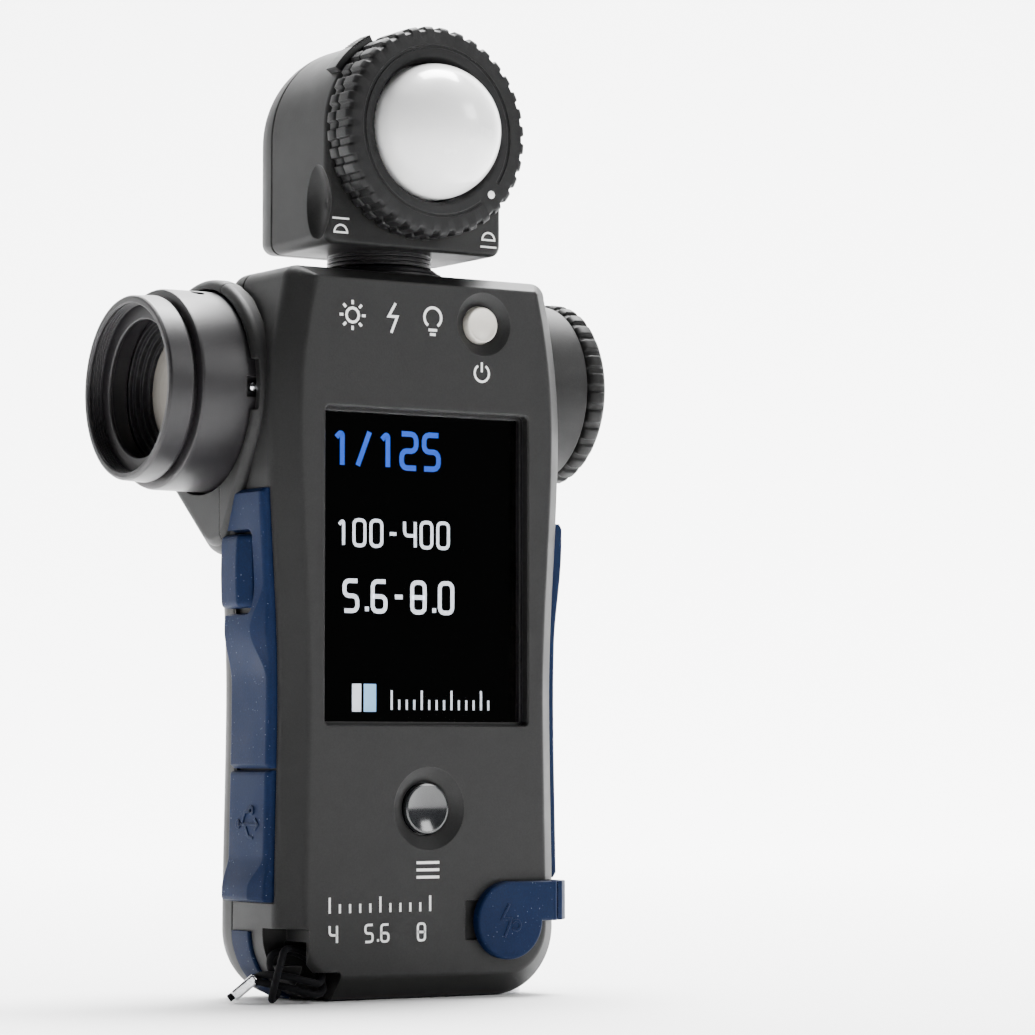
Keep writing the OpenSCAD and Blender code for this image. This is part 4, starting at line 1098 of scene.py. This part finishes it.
def make_readout():
    """Generic read-out under the cover glass: numbers, two tiles and a bar scale."""
    low, high = span("lcd_panel")
    y, left, top = low.y - 0.06, low.x, high.z

    def show(name, lines, width, finish="screen_white"):
        fit(strokes(name, lines, width, on_front, y, 0.02), finish)

    show("readout_blue", digit_lines("1/125", left + 4.6, top - 11.2, 3.1), 1.0, "screen_blue")
    show("readout_speed", digit_lines("100-400", left + 5.4, top - 25.6, 2.3), 0.62)
    show("readout_stop", digit_lines("5.6-8.0", left + 7, top - 37.4, 2.7), 0.8)
    base = low.z + 3.4
    show("readout_tile", bar(left + 9.6, base, base + 5), 1.9)
    show("readout_tile_pale", bar(left + 12.4, base, base + 5), 2.6, "screen_pale")
    show("readout_scale", ticks(left + 17, base + 0.4, 1.6, 14, 4, 3.5, 1.8), 0.42)


def mode_lines(x, z):
    """Sun, flash and lamp pictograms in a row."""
    sun = [(arc((x, z), 1.3, 0, 330, 30), True)]
    for k in range(8):
        a = math.radians(45 * k)
        sun.append(([(x + r * math.cos(a), z + r * math.sin(a)) for r in (1.95, 2.7)], False))
    bolt = [([(x + 8.6 + 0.9 * u, z + 0.9 * v) for u, v in BOLT], False)]
    lamp_x = x + 17
    lamp = [(arc((lamp_x, z + 0.6), 1.8, -55, 235, 12), False)]
    for half, drop in ((0.9, 1.7), (0.6, 2.5)):
        lamp.append(([(lamp_x - half, z - drop), (lamp_x + half, z - drop)], False))
    return sun + bolt + lamp


def make_marks():
    """White printed pictograms on the case and the head."""
    def paint(name, lines, width, y=FRONT_Y, body=BODY):
        fit(strokes(name, lines, width, on_front, y - 0.03, 0.035), "white_paint", body)

    x, z = POWER_AT[0] - 0.45, POWER_AT[1] - 9
    paint("power_mark", [(arc((x, z), 1.55, 122, 418, 8), False)] + bar(x, z + 2.0, z + 0.2), 0.42)
    x, z = MENU_AT[0] - 0.3, MENU_AT[1] - 11
    paint("menu_mark", [([(x - 2.4, z + dz), (x + 2.4, z + dz)], False) for dz in (-1.3, 0, 1.3)], 0.5)
    paint("mode_marks", mode_lines(-16.2, 122.6), 0.5)
    x, z, drop, size = -20.6, 15.8, 5.2, 1.5
    paint("scale_marks", ticks(x, z, 2.1, 11, 5, 2.8, 1.6), 0.42)
    numbers = []
    for text, along in (("4", 0), ("5.6", 7.4), ("8", 18.4)):
        numbers += digit_lines(text, x + along, z - drop, size)
    paint("scale_numbers", numbers, 0.42)
    for side, name in ((-1, "dome_out_mark"), (1, "dome_in_mark")):
        x, z = side * 15.9, 139.3
        half = arc((x, z - 0.75 + 0.45 * side), 1.35, 0, 180, 12)
        line = z + 1.35 if side < 0 else z - 1.6
        paint(name, [(half, True), ([(x - 1.75, line), (x + 1.75, line)], False)], 0.34, HEAD_Y0, "head")


def make_ferrule():
    """Crimped metal tag that holds the two ends of the strap cord."""
    length, width, thick = 2.6, 1.8, 0.95
    outline = [(-length, -width), (length, -width), (length, width), (-length, width)]
    tag = slab("cord_crimp", rounded(outline, 0.5, closed=True), rim(-thick, thick, 0.4, 0.4), "z")
    for vertex in tag.data.vertices:
        x, y = vertex.co.x / MM, vertex.co.y / MM
        pinch = 0.22 * math.exp(-((x / 0.7) ** 2)) * math.exp(-((y / 1.2) ** 2))
        vertex.co.z *= 1 - pinch
    turn = Matrix.Rotation(math.radians(-32.5), 4, "Z") @ Matrix.Rotation(math.radians(-40), 4, "Y")
    tag.data.transform(Matrix.Translation(Vector((-32.85, -5.55, 2.95)) * MM) @ turn)
    fit(tag, "polished_steel", nodes=["cord_ferrule"])
    return tag


add_camera()
ferrule = make_ferrule()
add_cord()
finish_frame()
make_front_case()
make_rear_case()
make_collars()
make_grips()
make_measuring_button()
make_sync_cap()
make_sync_strap()
make_usb_cap()
make_head()
make_ring()
make_dome()
make_neck()
make_barrel()
make_front_ring()
make_eyepiece()
make_button("power_button", POWER_AT, 3.3, "ivory_plastic", 0.35)
make_button("menu_button", MENU_AT, 4.6, "grey_plastic", 0.7)
make_readout()
make_marks()
add_stage()
add_lights()
